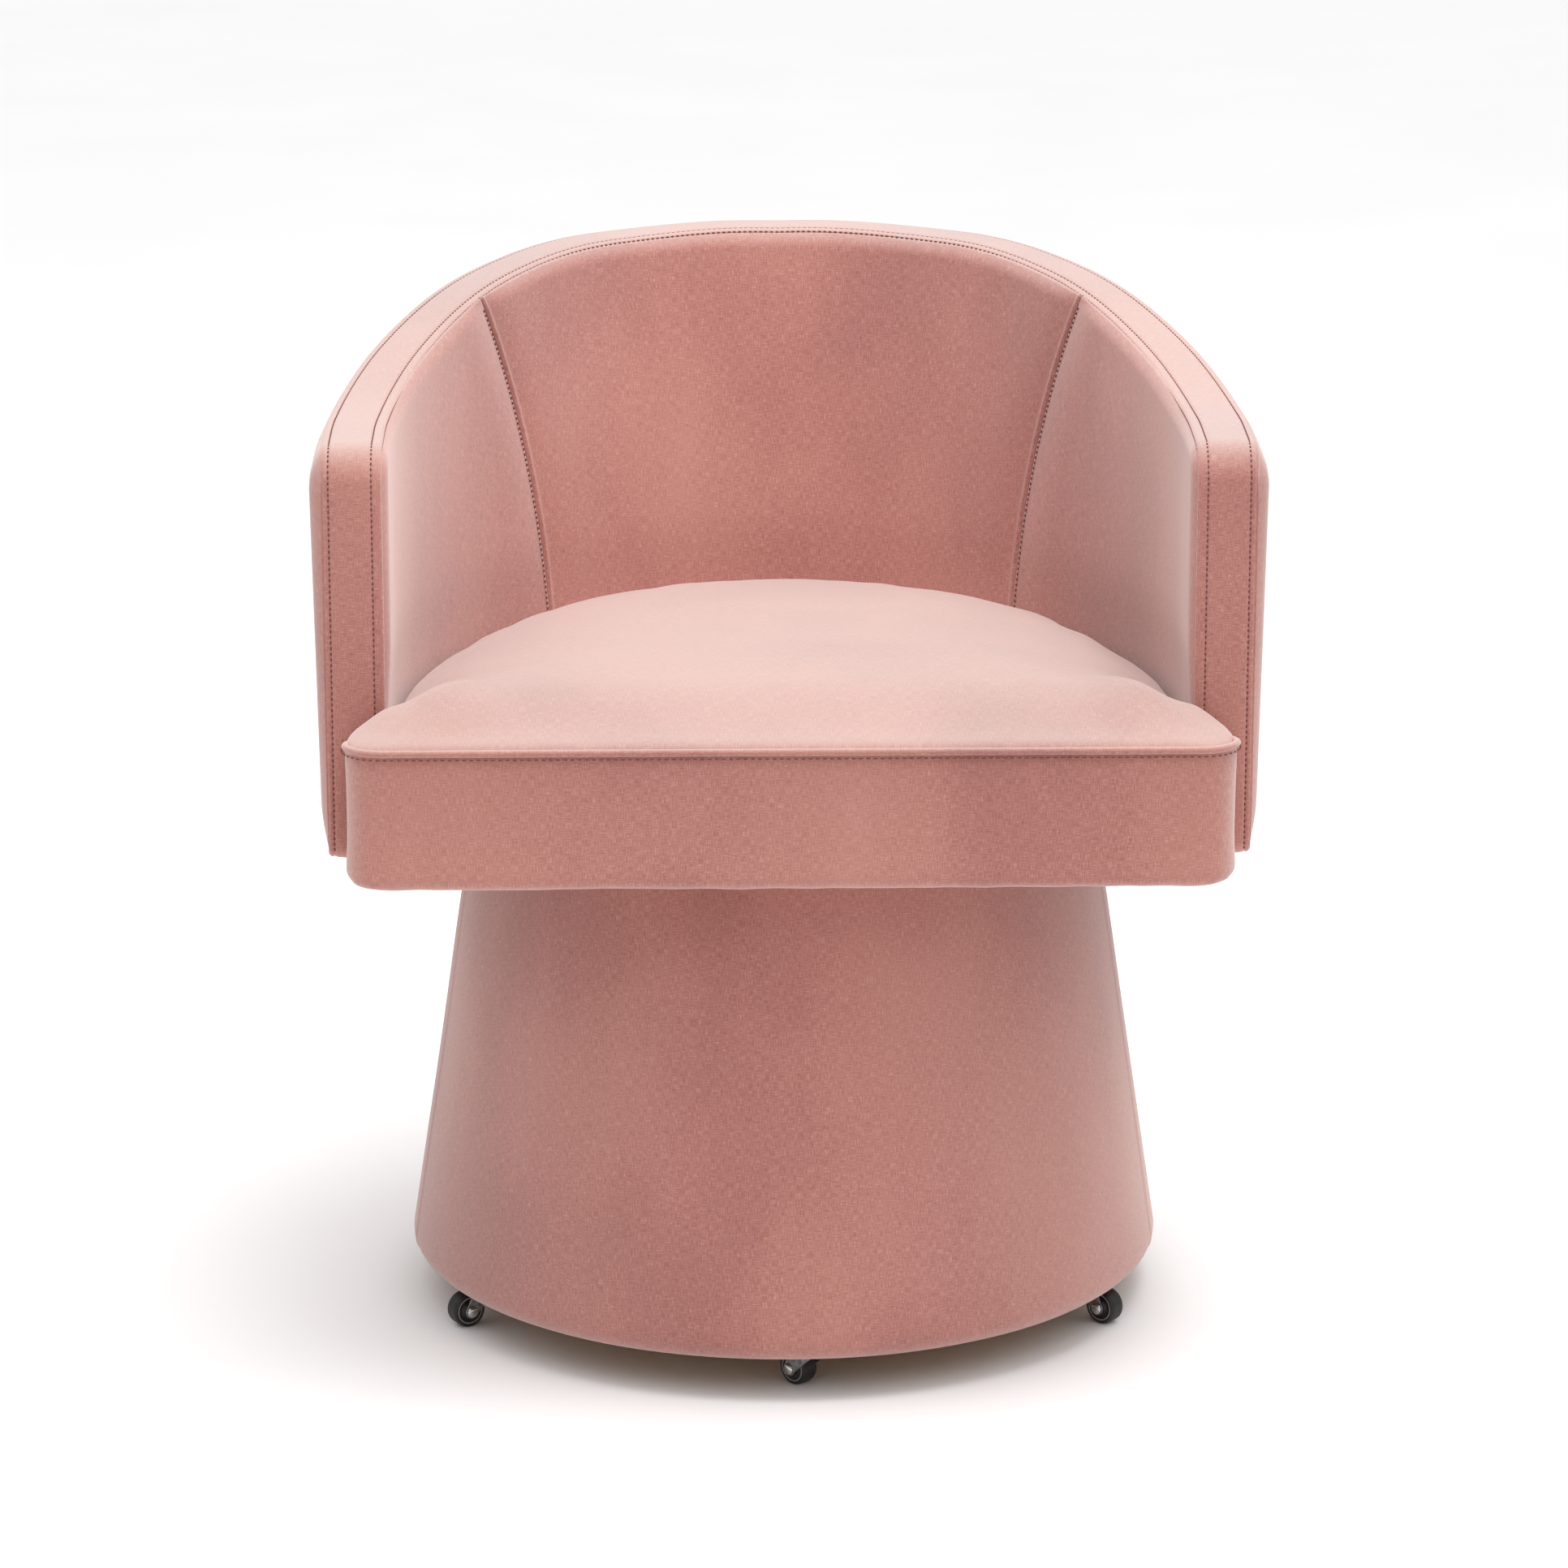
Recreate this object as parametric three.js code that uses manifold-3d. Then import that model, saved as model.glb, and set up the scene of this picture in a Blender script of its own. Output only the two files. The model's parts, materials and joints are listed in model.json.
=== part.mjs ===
// Barrel-back rolling chair: an upholstered seat and wrap-around back that swivel on a
// conical upholstered pedestal, which rolls on five small casters hidden in its skirt.
// Units are millimetres. +Z is up, the chair faces -Y, and the origin lies on the floor
// under the swivel axis.
import * as THREE from 'three';
import { mergeVertices } from 'three/addons/utils/BufferGeometryUtils.js';
import Module from 'manifold-3d';

const wasm = await Module();
wasm.setup();

// ---------------------------------------------------------------- driving dimensions

const GAP = 0.3; // clearance kept between neighbouring pieces
const PAD_CLEARANCE = 2.5; // the same for the soft pads, whose facets don't line up

// Upholstered back and arms, seen in plan as a U that is open towards -Y
const ARM_FRONT_Y = -220; // front face of both arms
const BEND_Y = -160; // the straight arms end and the curve begins
const PLAN_POWER = 2.1; // superellipse exponent of the curve
const SEAM_HALF_WIDTH = 320; // outer seam of the edge band, at the arms
const SEAM_REAR_Y = 290; // outer seam of the edge band, at the rear
const LOWER_BULGE = 4.5; // how far the outer face stands out past its seams
const UPPER_BULGE = 9.9;
const OUTER_FOOT_REAR_Y = 247; // outer face at the rear, at its lower edge
const INNER_HALF_WIDTH = 279; // inner face of the arms
const INNER_REAR_Y = 247; // inner face at the rear, at its top
const INNER_FOOT_REAR_Y = 146; // the same face extended down to the shell's lower edge
const SHELL_BOTTOM = 386;
const ARM_TOP = 675;
const BACK_TOP = 738.5;
const SLOPE_FRONT_Y = -120; // the arm top starts to rise here
const COVER_THICKNESS = 4;
const FRAME_THICKNESS = 15;
const BAND_THICKNESS = 6;
const BAND_CROWN = 1.5;
const BAND_CORNER_RADIUS = 16; // where the band turns down over the arm front
const PANEL_SEAM_FOOT_TURN = 0.32; // where the back pad meets the arm pads
const PANEL_SEAM_TOP_TURN = 0.45;
const PANEL_SEAM_GAP_TURN = 0.001;

// Seat
const SEAT_FRONT_Y = -295;
const SEAT_HALF_WIDTH = 308; // across the front of the T-shaped cushion
const SEAT_FRONT_CORNER_RADIUS = 28;
const SEAT_REAR_CORNER_RADIUS = 10;
const SEAT_SEAM_HEIGHT = 477;
const SEAT_EDGE_HEIGHT = 483;
const SEAT_CROWN_HEIGHT = 510;
const SEAT_CENTRE_Y = -60;
const SEAT_BORDER = 18; // thickness of the cushion's border around the board
const BOARD_BOTTOM = 390;
const BOARD_THICKNESS = 15;
const BOARD_TOP = BOARD_BOTTOM + BOARD_THICKNESS;
const DUST_COVER_THICKNESS = 1.5;

// Swivel between the pedestal and the seat
const PLATE_SIZE = 180;
const PLATE_THICKNESS = 2.5;
const LOWER_PLATE_BOTTOM = 374.3;
const UPPER_PLATE_BOTTOM = 387.2;
const BEARING_INNER_RADIUS = 52;
const BEARING_OUTER_RADIUS = 66;
const BOLT_SPACING = 150;
const BOLT_RADIUS = 3;
const BOLT_HEAD_RADIUS = 6;
const BOLT_HEAD_HEIGHT = 3.5;
const BOLT_LENGTH = 13;

// Pedestal, a cone that widens downwards
const PEDESTAL_TOP = 378;
const PEDESTAL_BOTTOM = 30;
const PEDESTAL_TOP_RADIUS = 223;
const RIM_RADIUS = 273.5;
const RIM_HEIGHT = 44; // the widest point, where the rolled lower edge begins
const RIM_LIP_RADIUS = 256.5;
const PEDESTAL_COVER_THICKNESS = 3.7;
const PEDESTAL_WALL_THICKNESS = 9;
const TOP_BOARD_THICKNESS = 12;
const TOP_WRAP_RADIUS = 197; // the cover is stapled down on top, as far in as this
const CASTER_BOARD_BOTTOM = 36.3;
const CASTER_BOARD_THICKNESS = 12;
const CASTER_BOARD_RADIUS = 262;

// Casters
const PIVOT_RADIUS = 240;
const CASTER_PLACES = [ // degrees: azimuth from the front towards +X, resting trail direction
  { azimuth: 4, heading: 133 },
  { azimuth: 66, heading: -42 },
  { azimuth: 138, heading: 62 },
  { azimuth: -138, heading: 110 },
  { azimuth: -66, heading: -149 },
];
const TRAIL = 16;
const WHEEL_RADIUS = 12.5;
const WHEEL_WIDTH = 14;
const TYRE_SIDES = 24;
const HUB_RADIUS = 9.2;
const AXLE_RADIUS = 1.5;
const AXLE_HEAD_RADIUS = 4.2;
const KINGPIN_RADIUS = 3;
const KINGPIN_HEAD_RADIUS = 5.5;
const CASTER_PLATE_SIZE = 28;
const CASTER_PLATE_THICKNESS = 2;
const CASTER_PLATE_BOTTOM = 34;
const RACEWAY_RADIUS = 8.5;
const FORK_TOP = 31;
const FORK_THICKNESS = 1.6;
const FORK_HALF_WIDTH = 9.6;

// ---------------------------------------------------------------- materials

const MATERIALS = {
  fabric: new THREE.MeshStandardMaterial({ color: 0xc98a80, roughness: 0.9, metalness: 0 }),
  lining: new THREE.MeshStandardMaterial({ color: 0x1d1c1c, roughness: 0.95, metalness: 0 }),
  plywood: new THREE.MeshStandardMaterial({ color: 0xc7a173, roughness: 0.7, metalness: 0 }),
  steel: new THREE.MeshStandardMaterial({ color: 0x777a7a, roughness: 0.4, metalness: 1 }),
  bright: new THREE.MeshStandardMaterial({ color: 0xc9cccc, roughness: 0.2, metalness: 1 }),
  hub: new THREE.MeshStandardMaterial({ color: 0x33282a, roughness: 0.5, metalness: 0 }),
  tyre: new THREE.MeshStandardMaterial({ color: 0x161515, roughness: 0.75, metalness: 0 }),
};

// ---------------------------------------------------------------- geometry helpers

const mix = (from, to, share) => from + (to - from) * share;
const smoothStep = (share) => share * share * (3 - 2 * share);
const clamp01 = (value) => Math.min(1, Math.max(0, value));
const radians = THREE.MathUtils.degToRad;

function steps(count, from = 0, to = 1) {
  return Array.from({ length: count + 1 }, (_, index) => mix(from, to, index / count));
}

function signedVolume(points, faces) {
  return faces.reduce((total, [a, b, c]) => {
    const cross = new THREE.Vector3().crossVectors(points[b], points[c]);
    return total + points[a].dot(cross) / 6;
  }, 0);
}

// A closed surface from points and triangles, turned so that its faces point outwards
function closedGeometry(points, faces) {
  const inverted = signedVolume(points, faces) < 0;
  const coordinates = points.flatMap(({ x, y, z }) => [x, y, z]);
  const geometry = new THREE.BufferGeometry();
  geometry.setAttribute('position', new THREE.Float32BufferAttribute(coordinates, 3));
  geometry.setIndex(faces.flatMap(([a, b, c]) => (inverted ? [a, c, b] : [a, b, c])));
  return geometry;
}

// The solid between two surfaces over the same grid of columns and rows. Each surface
// takes a column and a row value and returns a point.
function slab(columns, rows, surfaceA, surfaceB) {
  const sheet = (surface) => columns.flatMap((column) => rows.map((row) => surface(column, row)));
  const points = [...sheet(surfaceA), ...sheet(surfaceB)];
  const lastColumn = columns.length - 1;
  const lastRow = rows.length - 1;
  const a = (column, row) => column * rows.length + row;
  const b = (column, row) => points.length / 2 + a(column, row);
  const faces = [];
  const quad = (...corners) => {
    const [first, second, third, fourth] = corners;
    faces.push([first, second, third], [first, third, fourth]);
  };
  for (let i = 0; i < lastColumn; i += 1) {
    for (let j = 0; j < lastRow; j += 1) {
      quad(a(i, j), a(i + 1, j), a(i + 1, j + 1), a(i, j + 1));
      quad(b(i, j), b(i, j + 1), b(i + 1, j + 1), b(i + 1, j));
    }
    quad(a(i, 0), b(i, 0), b(i + 1, 0), a(i + 1, 0));
    quad(a(i, lastRow), a(i + 1, lastRow), b(i + 1, lastRow), b(i, lastRow));
  }
  for (let j = 0; j < lastRow; j += 1) {
    quad(a(0, j), a(0, j + 1), b(0, j + 1), b(0, j));
    quad(a(lastColumn, j), b(lastColumn, j), b(lastColumn, j + 1), a(lastColumn, j + 1));
  }
  return closedGeometry(points, faces);
}

// The solid through a stack of rings with equal point counts, closed by a fan at each end
function ringStack(rings) {
  const count = rings[0].length;
  const points = rings.flat();
  const faces = [];
  for (let level = 0; level + 1 < rings.length; level += 1) {
    for (let i = 0; i < count; i += 1) {
      const [a, b] = [level * count + i, level * count + ((i + 1) % count)];
      faces.push([a, b, b + count], [a, b + count, a + count]);
    }
  }
  [0, rings.length - 1].forEach((level) => {
    const centre = new THREE.Vector3(0, SEAT_CENTRE_Y, rings[level][0].z);
    points.push(centre);
    for (let i = 0; i < count; i += 1) {
      const [a, b] = [level * count + i, level * count + ((i + 1) % count)];
      faces.push(level === 0 ? [points.length - 1, b, a] : [points.length - 1, a, b]);
    }
  });
  return closedGeometry(points, faces);
}

// A solid of revolution about Z from [radius, height] points
function lathe(profile, sides) {
  const curve = profile.map(([radius, height]) => new THREE.Vector2(radius, height));
  const geometry = new THREE.LatheGeometry(curve, sides).rotateX(Math.PI / 2);
  const merged = mergedGeometry(geometry);
  const position = merged.getAttribute('position');
  const points = Array.from({ length: position.count }, (_, index) => {
    return new THREE.Vector3().fromBufferAttribute(position, index);
  });
  const corners = Array.from(merged.index.array);
  const faces = [];
  for (let i = 0; i < corners.length; i += 3) {
    const [a, b, c] = corners.slice(i, i + 3);
    if (a !== b && b !== c && c !== a) faces.push([a, b, c]);
  }
  return closedGeometry(points, faces);
}

// A straight-sided solid from a plan outline of [x, y] points, between two heights
function prism(outline, bottom, top) {
  const shape = new THREE.Shape(outline.map(([x, y]) => new THREE.Vector2(x, y)));
  const options = { depth: top - bottom, bevelEnabled: false };
  return new THREE.ExtrudeGeometry(shape, options).translate(0, 0, bottom);
}

function square(size) {
  const half = size / 2;
  return [[-half, -half], [half, -half], [half, half], [-half, half]];
}

// A vertical round bar between two heights
function post(radius, bottom, top, sides = 16) {
  return lathe([[0, bottom], [radius, bottom], [radius, top], [0, top]], sides);
}

function mergedGeometry(geometry) {
  const bare = geometry.clone();
  bare.deleteAttribute('normal');
  bare.deleteAttribute('uv');
  return mergeVertices(bare, 1e-4);
}

function toManifold(geometry) {
  const merged = mergedGeometry(geometry);
  const vertProperties = Float32Array.from(merged.getAttribute('position').array);
  const triVerts = Uint32Array.from(merged.index.array);
  return new wasm.Manifold(new wasm.Mesh({ numProp: 3, vertProperties, triVerts }));
}

function toGeometry(manifold) {
  const { vertProperties, triVerts } = manifold.getMesh();
  const geometry = new THREE.BufferGeometry();
  geometry.setAttribute('position', new THREE.Float32BufferAttribute(vertProperties, 3));
  geometry.setIndex(Array.from(triVerts));
  return geometry;
}

function join(...geometries) {
  return toGeometry(geometries.map(toManifold).reduce((sum, next) => sum.add(next)));
}

function cut(geometry, ...tools) {
  const solid = toManifold(geometry);
  return toGeometry(tools.map(toManifold).reduce((rest, tool) => rest.subtract(tool), solid));
}

function piece(name, geometry, material) {
  const mesh = new THREE.Mesh(geometry, material.clone());
  mesh.name = name;
  return mesh;
}

// ---------------------------------------------------------------- plan of the back

// A turn runs from -1 at the left arm's front, through 0 at the rear, to 1 at the right
// arm's front. Beyond CURVE_TURN the arms are straight.
const CURVE_TURN = 0.8;
const CURVE_COLUMNS = 11;
const STRAIGHT_TURNS = [0.87, 0.93, 0.955, 0.975, 0.99, 1];
const HALF_TURNS = [...steps(CURVE_COLUMNS, 0, CURVE_TURN), ...STRAIGHT_TURNS];
const TURNS = [...HALF_TURNS.slice(1).map((turn) => -turn).reverse(), ...HALF_TURNS];
const UNDER_BAND_FRONT_Y = ARM_FRONT_Y + BAND_THICKNESS + GAP;

function planPoint(turn, halfWidth, rearY, frontY = UNDER_BAND_FRONT_Y) {
  const size = Math.abs(turn);
  const side = Math.sign(turn);
  if (size > CURVE_TURN) {
    return { x: side * halfWidth, y: mix(BEND_Y, frontY, (size - CURVE_TURN) / (1 - CURVE_TURN)) };
  }
  const angle = (size / CURVE_TURN) * (Math.PI / 2);
  const across = Math.sin(angle) ** (2 / PLAN_POWER);
  const along = Math.max(0, Math.cos(angle)) ** (2 / PLAN_POWER);
  return { x: side * halfWidth * across, y: mix(BEND_Y, rearY, along) };
}

// Height of the outer seam: level along the arms, rising smoothly to the back
function seamHeight(turn) {
  const { y } = planPoint(turn, SEAM_HALF_WIDTH, SEAM_REAR_Y);
  const share = clamp01((y - SLOPE_FRONT_Y) / (SEAM_REAR_Y - SLOPE_FRONT_Y));
  return mix(ARM_TOP, BACK_TOP, smoothStep(share));
}

// Height of the structure under the band, which rounds off towards the arm front
function supportHeight(turn) {
  const radius = BAND_CORNER_RADIUS - BAND_THICKNESS - GAP;
  const { y } = planPoint(turn, SEAM_HALF_WIDTH, SEAM_REAR_Y);
  const past = Math.max(0, UNDER_BAND_FRONT_Y + radius - y);
  const drop = radius - Math.sqrt(Math.max(0, radius ** 2 - past ** 2));
  return seamHeight(turn) - BAND_THICKNESS - GAP - drop;
}

// How far the stuffed outer face stands out past its seams: it rolls out of the lower and
// upper edges and grows fuller towards the top
function bulge(share) {
  const lowerRoll = 1 - (1 - Math.min(1, share / 0.12)) ** 2;
  const upperRoll = 1 - (1 - Math.min(1, (1 - share) / 0.1)) ** 2;
  return mix(LOWER_BULGE, UPPER_BULGE, share) * lowerRoll * upperRoll;
}

// A point on the outer face, or inset from it, at a share of the height below the band
function outerPoint(turn, share, inset) {
  const { x, y } = planPoint(
    turn,
    SEAM_HALF_WIDTH + bulge(share) - inset,
    mix(OUTER_FOOT_REAR_Y, SEAM_REAR_Y, share) + bulge(share) - inset,
  );
  return new THREE.Vector3(x, y, mix(SHELL_BOTTOM, supportHeight(turn), share));
}

function innerRearY(height) {
  return mix(INNER_FOOT_REAR_Y, INNER_REAR_Y, (height - SHELL_BOTTOM) / (BACK_TOP - SHELL_BOTTOM));
}

// The part of the outer face's height at which a piece starts above the shell's bottom
function shareAt(turn, height) {
  return (height - SHELL_BOTTOM) / (supportHeight(turn) - SHELL_BOTTOM);
}

// ---------------------------------------------------------------- back and arms

const SHELL_ROWS = [0, 0.08, 0.35, 0.65, 0.9, 0.96, 1];

// A layer of the shell between two insets from the outer face
function shellLayer(outerInset, innerInset) {
  const face = (inset) => (turn, share) => outerPoint(turn, share, inset);
  return slab(TURNS, SHELL_ROWS, face(outerInset), face(innerInset));
}

function outerBackCover() {
  return shellLayer(0, COVER_THICKNESS);
}

function backFrame() {
  const outerInset = COVER_THICKNESS + GAP;
  return shellLayer(outerInset, outerInset + FRAME_THICKNESS);
}

// A pad between two seams. The seams lean, so a column's turn changes with the height.
function pad(columns, turnAt) {
  const inset = COVER_THICKNESS + FRAME_THICKNESS + GAP + PAD_CLEARANCE;
  const footHeight = BOARD_TOP + GAP;
  const rows = SHELL_ROWS.filter((row) => row === 0 || row > 0.1);
  const shareOf = (turn, row) => Math.max(row, shareAt(turn, footHeight));
  const outer = (column, row) => {
    const turn = turnAt(column, row);
    const point = outerPoint(turn, shareOf(turn, row), inset);
    return point.setZ(row === 1 ? point.z - PAD_CLEARANCE : point.z);
  };
  const inner = (column, row) => {
    const turn = turnAt(column, row);
    const height = outer(column, row).z;
    const { x, y } = planPoint(turn, INNER_HALF_WIDTH, innerRearY(height));
    return new THREE.Vector3(x, y, height);
  };
  return slab(columns, rows, outer, inner);
}

function panelSeamTurn(row) {
  return mix(PANEL_SEAM_FOOT_TURN, PANEL_SEAM_TOP_TURN, row ** 2);
}

function backPad() {
  return pad(steps(12, -1, 1), (column, row) => {
    return column * (panelSeamTurn(row) - PANEL_SEAM_GAP_TURN);
  });
}

function armPad(side) {
  const columns = [...steps(8), ...STRAIGHT_TURNS.map((turn) => 1 + turn)];
  return pad(columns, (column, row) => {
    const start = panelSeamTurn(row) + PANEL_SEAM_GAP_TURN;
    return side * (column <= 1 ? mix(start, CURVE_TURN, column) : column - 1);
  });
}

// The band runs up one arm front, over the top edge and down the other arm front. Each
// station gives its outer and inner edge and the direction of its thickness.
function bandStations() {
  const legHeights = steps(3, SHELL_BOTTOM, ARM_TOP - BAND_CORNER_RADIUS).slice(0, -1);
  const leg = legHeights.map((height) => bandStation(ARM_FRONT_Y, height, 0));
  const corner = steps(4, 0, Math.PI / 2).map((angle) => bandStation(
    ARM_FRONT_Y + BAND_CORNER_RADIUS * (1 - Math.cos(angle)),
    ARM_TOP - BAND_CORNER_RADIUS * (1 - Math.sin(angle)),
    angle,
  ));
  const top = HALF_TURNS.filter((turn) => turn <= 0.87).reverse().map((turn) => {
    const outer = planPoint(turn, SEAM_HALF_WIDTH, SEAM_REAR_Y);
    const inner = planPoint(turn, INNER_HALF_WIDTH, INNER_REAR_Y);
    const height = seamHeight(turn);
    return {
      outer: new THREE.Vector3(outer.x, outer.y, height),
      inner: new THREE.Vector3(inner.x, inner.y, height),
      inward: new THREE.Vector3(0, 0, -1),
    };
  });
  const right = [...leg, ...corner, ...top];
  const left = right.slice(0, -1).reverse().map(({ outer, inner, inward }) => ({
    outer: outer.clone().setX(-outer.x),
    inner: inner.clone().setX(-inner.x),
    inward,
  }));
  return [...right, ...left];
}

function bandStation(y, height, angle) {
  return {
    outer: new THREE.Vector3(SEAM_HALF_WIDTH, y, height),
    inner: new THREE.Vector3(INNER_HALF_WIDTH, y, height),
    inward: new THREE.Vector3(0, Math.cos(angle), -Math.sin(angle)),
  };
}

function edgeBand() {
  const offset = ({ outer, inner, inward }, row, depth) => {
    return outer.clone().lerp(inner, row).addScaledVector(inward, depth);
  };
  const face = (station, row) => offset(station, row, -BAND_CROWN * 4 * row * (1 - row));
  const back = (station, row) => offset(station, row, BAND_THICKNESS);
  return slab(bandStations(), steps(4), face, back);
}

// ---------------------------------------------------------------- seat

function arc(centreX, centreY, radius, fromDegrees, toDegrees, count = 4) {
  return steps(count, radians(fromDegrees), radians(toDegrees)).map((angle) => [
    centreX + radius * Math.cos(angle),
    centreY + radius * Math.sin(angle),
  ]);
}

// Right half of the cushion's plan, from the middle of the front to the middle of the rear
function cushionHalfOutline(inset, rearY) {
  const frontY = SEAT_FRONT_Y + inset;
  const halfWidth = SEAT_HALF_WIDTH - inset;
  const wingRearY = ARM_FRONT_Y - GAP - BAND_CROWN;
  const neck = INNER_HALF_WIDTH - PAD_CLEARANCE;
  const frontRadius = SEAT_FRONT_CORNER_RADIUS;
  const rearRadius = SEAT_REAR_CORNER_RADIUS;
  return [
    ...steps(4, 0, 240).map((x) => [x, frontY]),
    ...arc(halfWidth - frontRadius, frontY + frontRadius, frontRadius, -90, 0),
    ...arc(halfWidth - rearRadius, wingRearY - rearRadius, rearRadius, 0, 90),
    [neck, wingRearY],
    [neck, mix(wingRearY, BEND_Y, 0.5)],
    ...steps(CURVE_COLUMNS, CURVE_TURN, 0).map((turn) => {
      const { x, y } = planPoint(turn, neck, rearY - PAD_CLEARANCE);
      return [x, y];
    }),
  ];
}

function mirroredOutline(half) {
  const inner = half.filter(([x]) => x > 1e-6);
  const first = half[0];
  const last = half[half.length - 1];
  return [[0, first[1]], ...inner, [0, last[1]], ...inner.map(([x, y]) => [-x, y]).reverse()];
}

function cushionRing(height, inset) {
  const outline = mirroredOutline(cushionHalfOutline(inset, innerRearY(height)));
  return outline.map(([x, y]) => new THREE.Vector3(x, y, height));
}

// The crown rises from a ring no wider than the neck, so that it clears the arm fronts
function crownRing(scale) {
  const neck = INNER_HALF_WIDTH - PAD_CLEARANCE;
  const height = mix(SEAT_EDGE_HEIGHT + 5, SEAT_CROWN_HEIGHT, 1 - scale ** 2.5);
  return cushionRing(height, SEAT_BORDER).map((point) => new THREE.Vector3(
    Math.max(-neck, Math.min(neck, point.x)) * scale,
    mix(SEAT_CENTRE_Y, point.y, scale),
    height,
  ));
}

function seatCushion() {
  const body = ringStack([
    cushionRing(SHELL_BOTTOM, 5),
    cushionRing(SHELL_BOTTOM + 5, 0),
    cushionRing(SEAT_SEAM_HEIGHT, 0),
    cushionRing(SEAT_EDGE_HEIGHT, 4),
    ...[1, 0.85, 0.65, 0.35].map(crownRing),
  ]);
  return cut(body, prism(boardOutline(-GAP), SHELL_BOTTOM - 10, BOARD_TOP + GAP));
}

// The board fills the cushion's border in front, narrows between the arm fronts and
// widens again to reach the frame
function boardOutline(inset) {
  const notch = INNER_HALF_WIDTH - 2 * GAP - inset;
  const frontY = SEAT_FRONT_Y + SEAT_BORDER + inset;
  const frontHalf = SEAT_HALF_WIDTH - SEAT_BORDER - inset;
  const wingRearY = ARM_FRONT_Y - SEAT_BORDER - inset;
  const frameInset = COVER_THICKNESS + FRAME_THICKNESS + 3 * GAP + inset;
  const rearHalf = SEAM_HALF_WIDTH - frameInset;
  const rear = steps(CURVE_COLUMNS, CURVE_TURN, 0).map((turn) => {
    const { x, y } = planPoint(turn, rearHalf, OUTER_FOOT_REAR_Y - frameInset);
    return [x, y];
  });
  const half = [
    [0, frontY],
    [frontHalf, frontY],
    [frontHalf, wingRearY],
    [notch, wingRearY],
    [notch, UNDER_BAND_FRONT_Y + GAP + inset],
    [rearHalf, UNDER_BAND_FRONT_Y + GAP + inset],
    ...rear,
  ];
  return mirroredOutline(half);
}

const BOLT_PLACES = square(BOLT_SPACING);
const BOLT_HOLES = BOLT_PLACES.map(([x, y]) => {
  const top = UPPER_PLATE_BOTTOM + BOLT_LENGTH + GAP;
  return post(BOLT_RADIUS + GAP, UPPER_PLATE_BOTTOM - 1, top, 12).translate(x, y, 0);
});

function seatBoard() {
  return cut(prism(boardOutline(0), BOARD_BOTTOM, BOARD_TOP), ...BOLT_HOLES);
}

function seatDustCover() {
  const bottom = BOARD_BOTTOM - GAP - DUST_COVER_THICKNESS;
  const sheet = prism(boardOutline(1), bottom, bottom + DUST_COVER_THICKNESS);
  return cut(sheet, prism(square(PLATE_SIZE + 4 * GAP), bottom - 1, BOARD_BOTTOM));
}

function seatBolt([x, y]) {
  const shoulder = UPPER_PLATE_BOTTOM - GAP;
  return lathe([
    [0, shoulder - BOLT_HEAD_HEIGHT],
    [BOLT_HEAD_RADIUS, shoulder - BOLT_HEAD_HEIGHT],
    [BOLT_HEAD_RADIUS, shoulder],
    [BOLT_RADIUS, shoulder],
    [BOLT_RADIUS, UPPER_PLATE_BOTTOM + BOLT_LENGTH],
    [0, UPPER_PLATE_BOTTOM + BOLT_LENGTH],
  ], 12).translate(x, y, 0);
}

function buildSeat() {
  const seat = new THREE.Group();
  const upperPlateTop = UPPER_PLATE_BOTTOM + PLATE_THICKNESS;
  const upperPlate = prism(square(PLATE_SIZE), UPPER_PLATE_BOTTOM, upperPlateTop);
  seat.add(
    piece('outer_back_cover', outerBackCover(), MATERIALS.fabric),
    piece('back_frame', backFrame(), MATERIALS.plywood),
    piece('back_pad', backPad(), MATERIALS.fabric),
    piece('left_arm_pad', armPad(-1), MATERIALS.fabric),
    piece('right_arm_pad', armPad(1), MATERIALS.fabric),
    piece('edge_band', edgeBand(), MATERIALS.fabric),
    piece('seat_cushion', seatCushion(), MATERIALS.fabric),
    piece('seat_board', seatBoard(), MATERIALS.plywood),
    piece('seat_dust_cover', seatDustCover(), MATERIALS.lining),
    piece('upper_swivel_plate', cut(upperPlate, ...BOLT_HOLES), MATERIALS.steel),
  );
  BOLT_PLACES.forEach((place, index) => {
    seat.add(piece(`seat_bolt_${index + 1}`, seatBolt(place), MATERIALS.bright));
  });
  return seat;
}

// ---------------------------------------------------------------- pedestal

const PEDESTAL_SIDES = 40;

function coneRadius(height) {
  return mix(RIM_RADIUS, PEDESTAL_TOP_RADIUS, (height - RIM_HEIGHT) / (PEDESTAL_TOP - RIM_HEIGHT));
}

function pedestalCover() {
  const roll = RIM_HEIGHT - PEDESTAL_BOTTOM;
  const skin = PEDESTAL_COVER_THICKNESS;
  const rim = arc(RIM_RADIUS - roll, RIM_HEIGHT, roll, 0, -90, 4);
  const wallTop = PEDESTAL_TOP - skin;
  const boardTop = CASTER_BOARD_BOTTOM + CASTER_BOARD_THICKNESS + GAP;
  return lathe([
    [TOP_WRAP_RADIUS, PEDESTAL_TOP],
    [PEDESTAL_TOP_RADIUS - 3, PEDESTAL_TOP],
    [coneRadius(PEDESTAL_TOP - 3), PEDESTAL_TOP - 3],
    ...rim,
    [RIM_LIP_RADIUS, PEDESTAL_BOTTOM],
    [RIM_LIP_RADIUS, CASTER_BOARD_BOTTOM - GAP],
    [CASTER_BOARD_RADIUS + GAP, CASTER_BOARD_BOTTOM - GAP],
    [CASTER_BOARD_RADIUS + GAP, boardTop],
    [coneRadius(boardTop) - skin, boardTop],
    [coneRadius(wallTop) - skin, wallTop],
    [TOP_WRAP_RADIUS, wallTop],
    [TOP_WRAP_RADIUS, PEDESTAL_TOP],
  ], PEDESTAL_SIDES);
}

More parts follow.
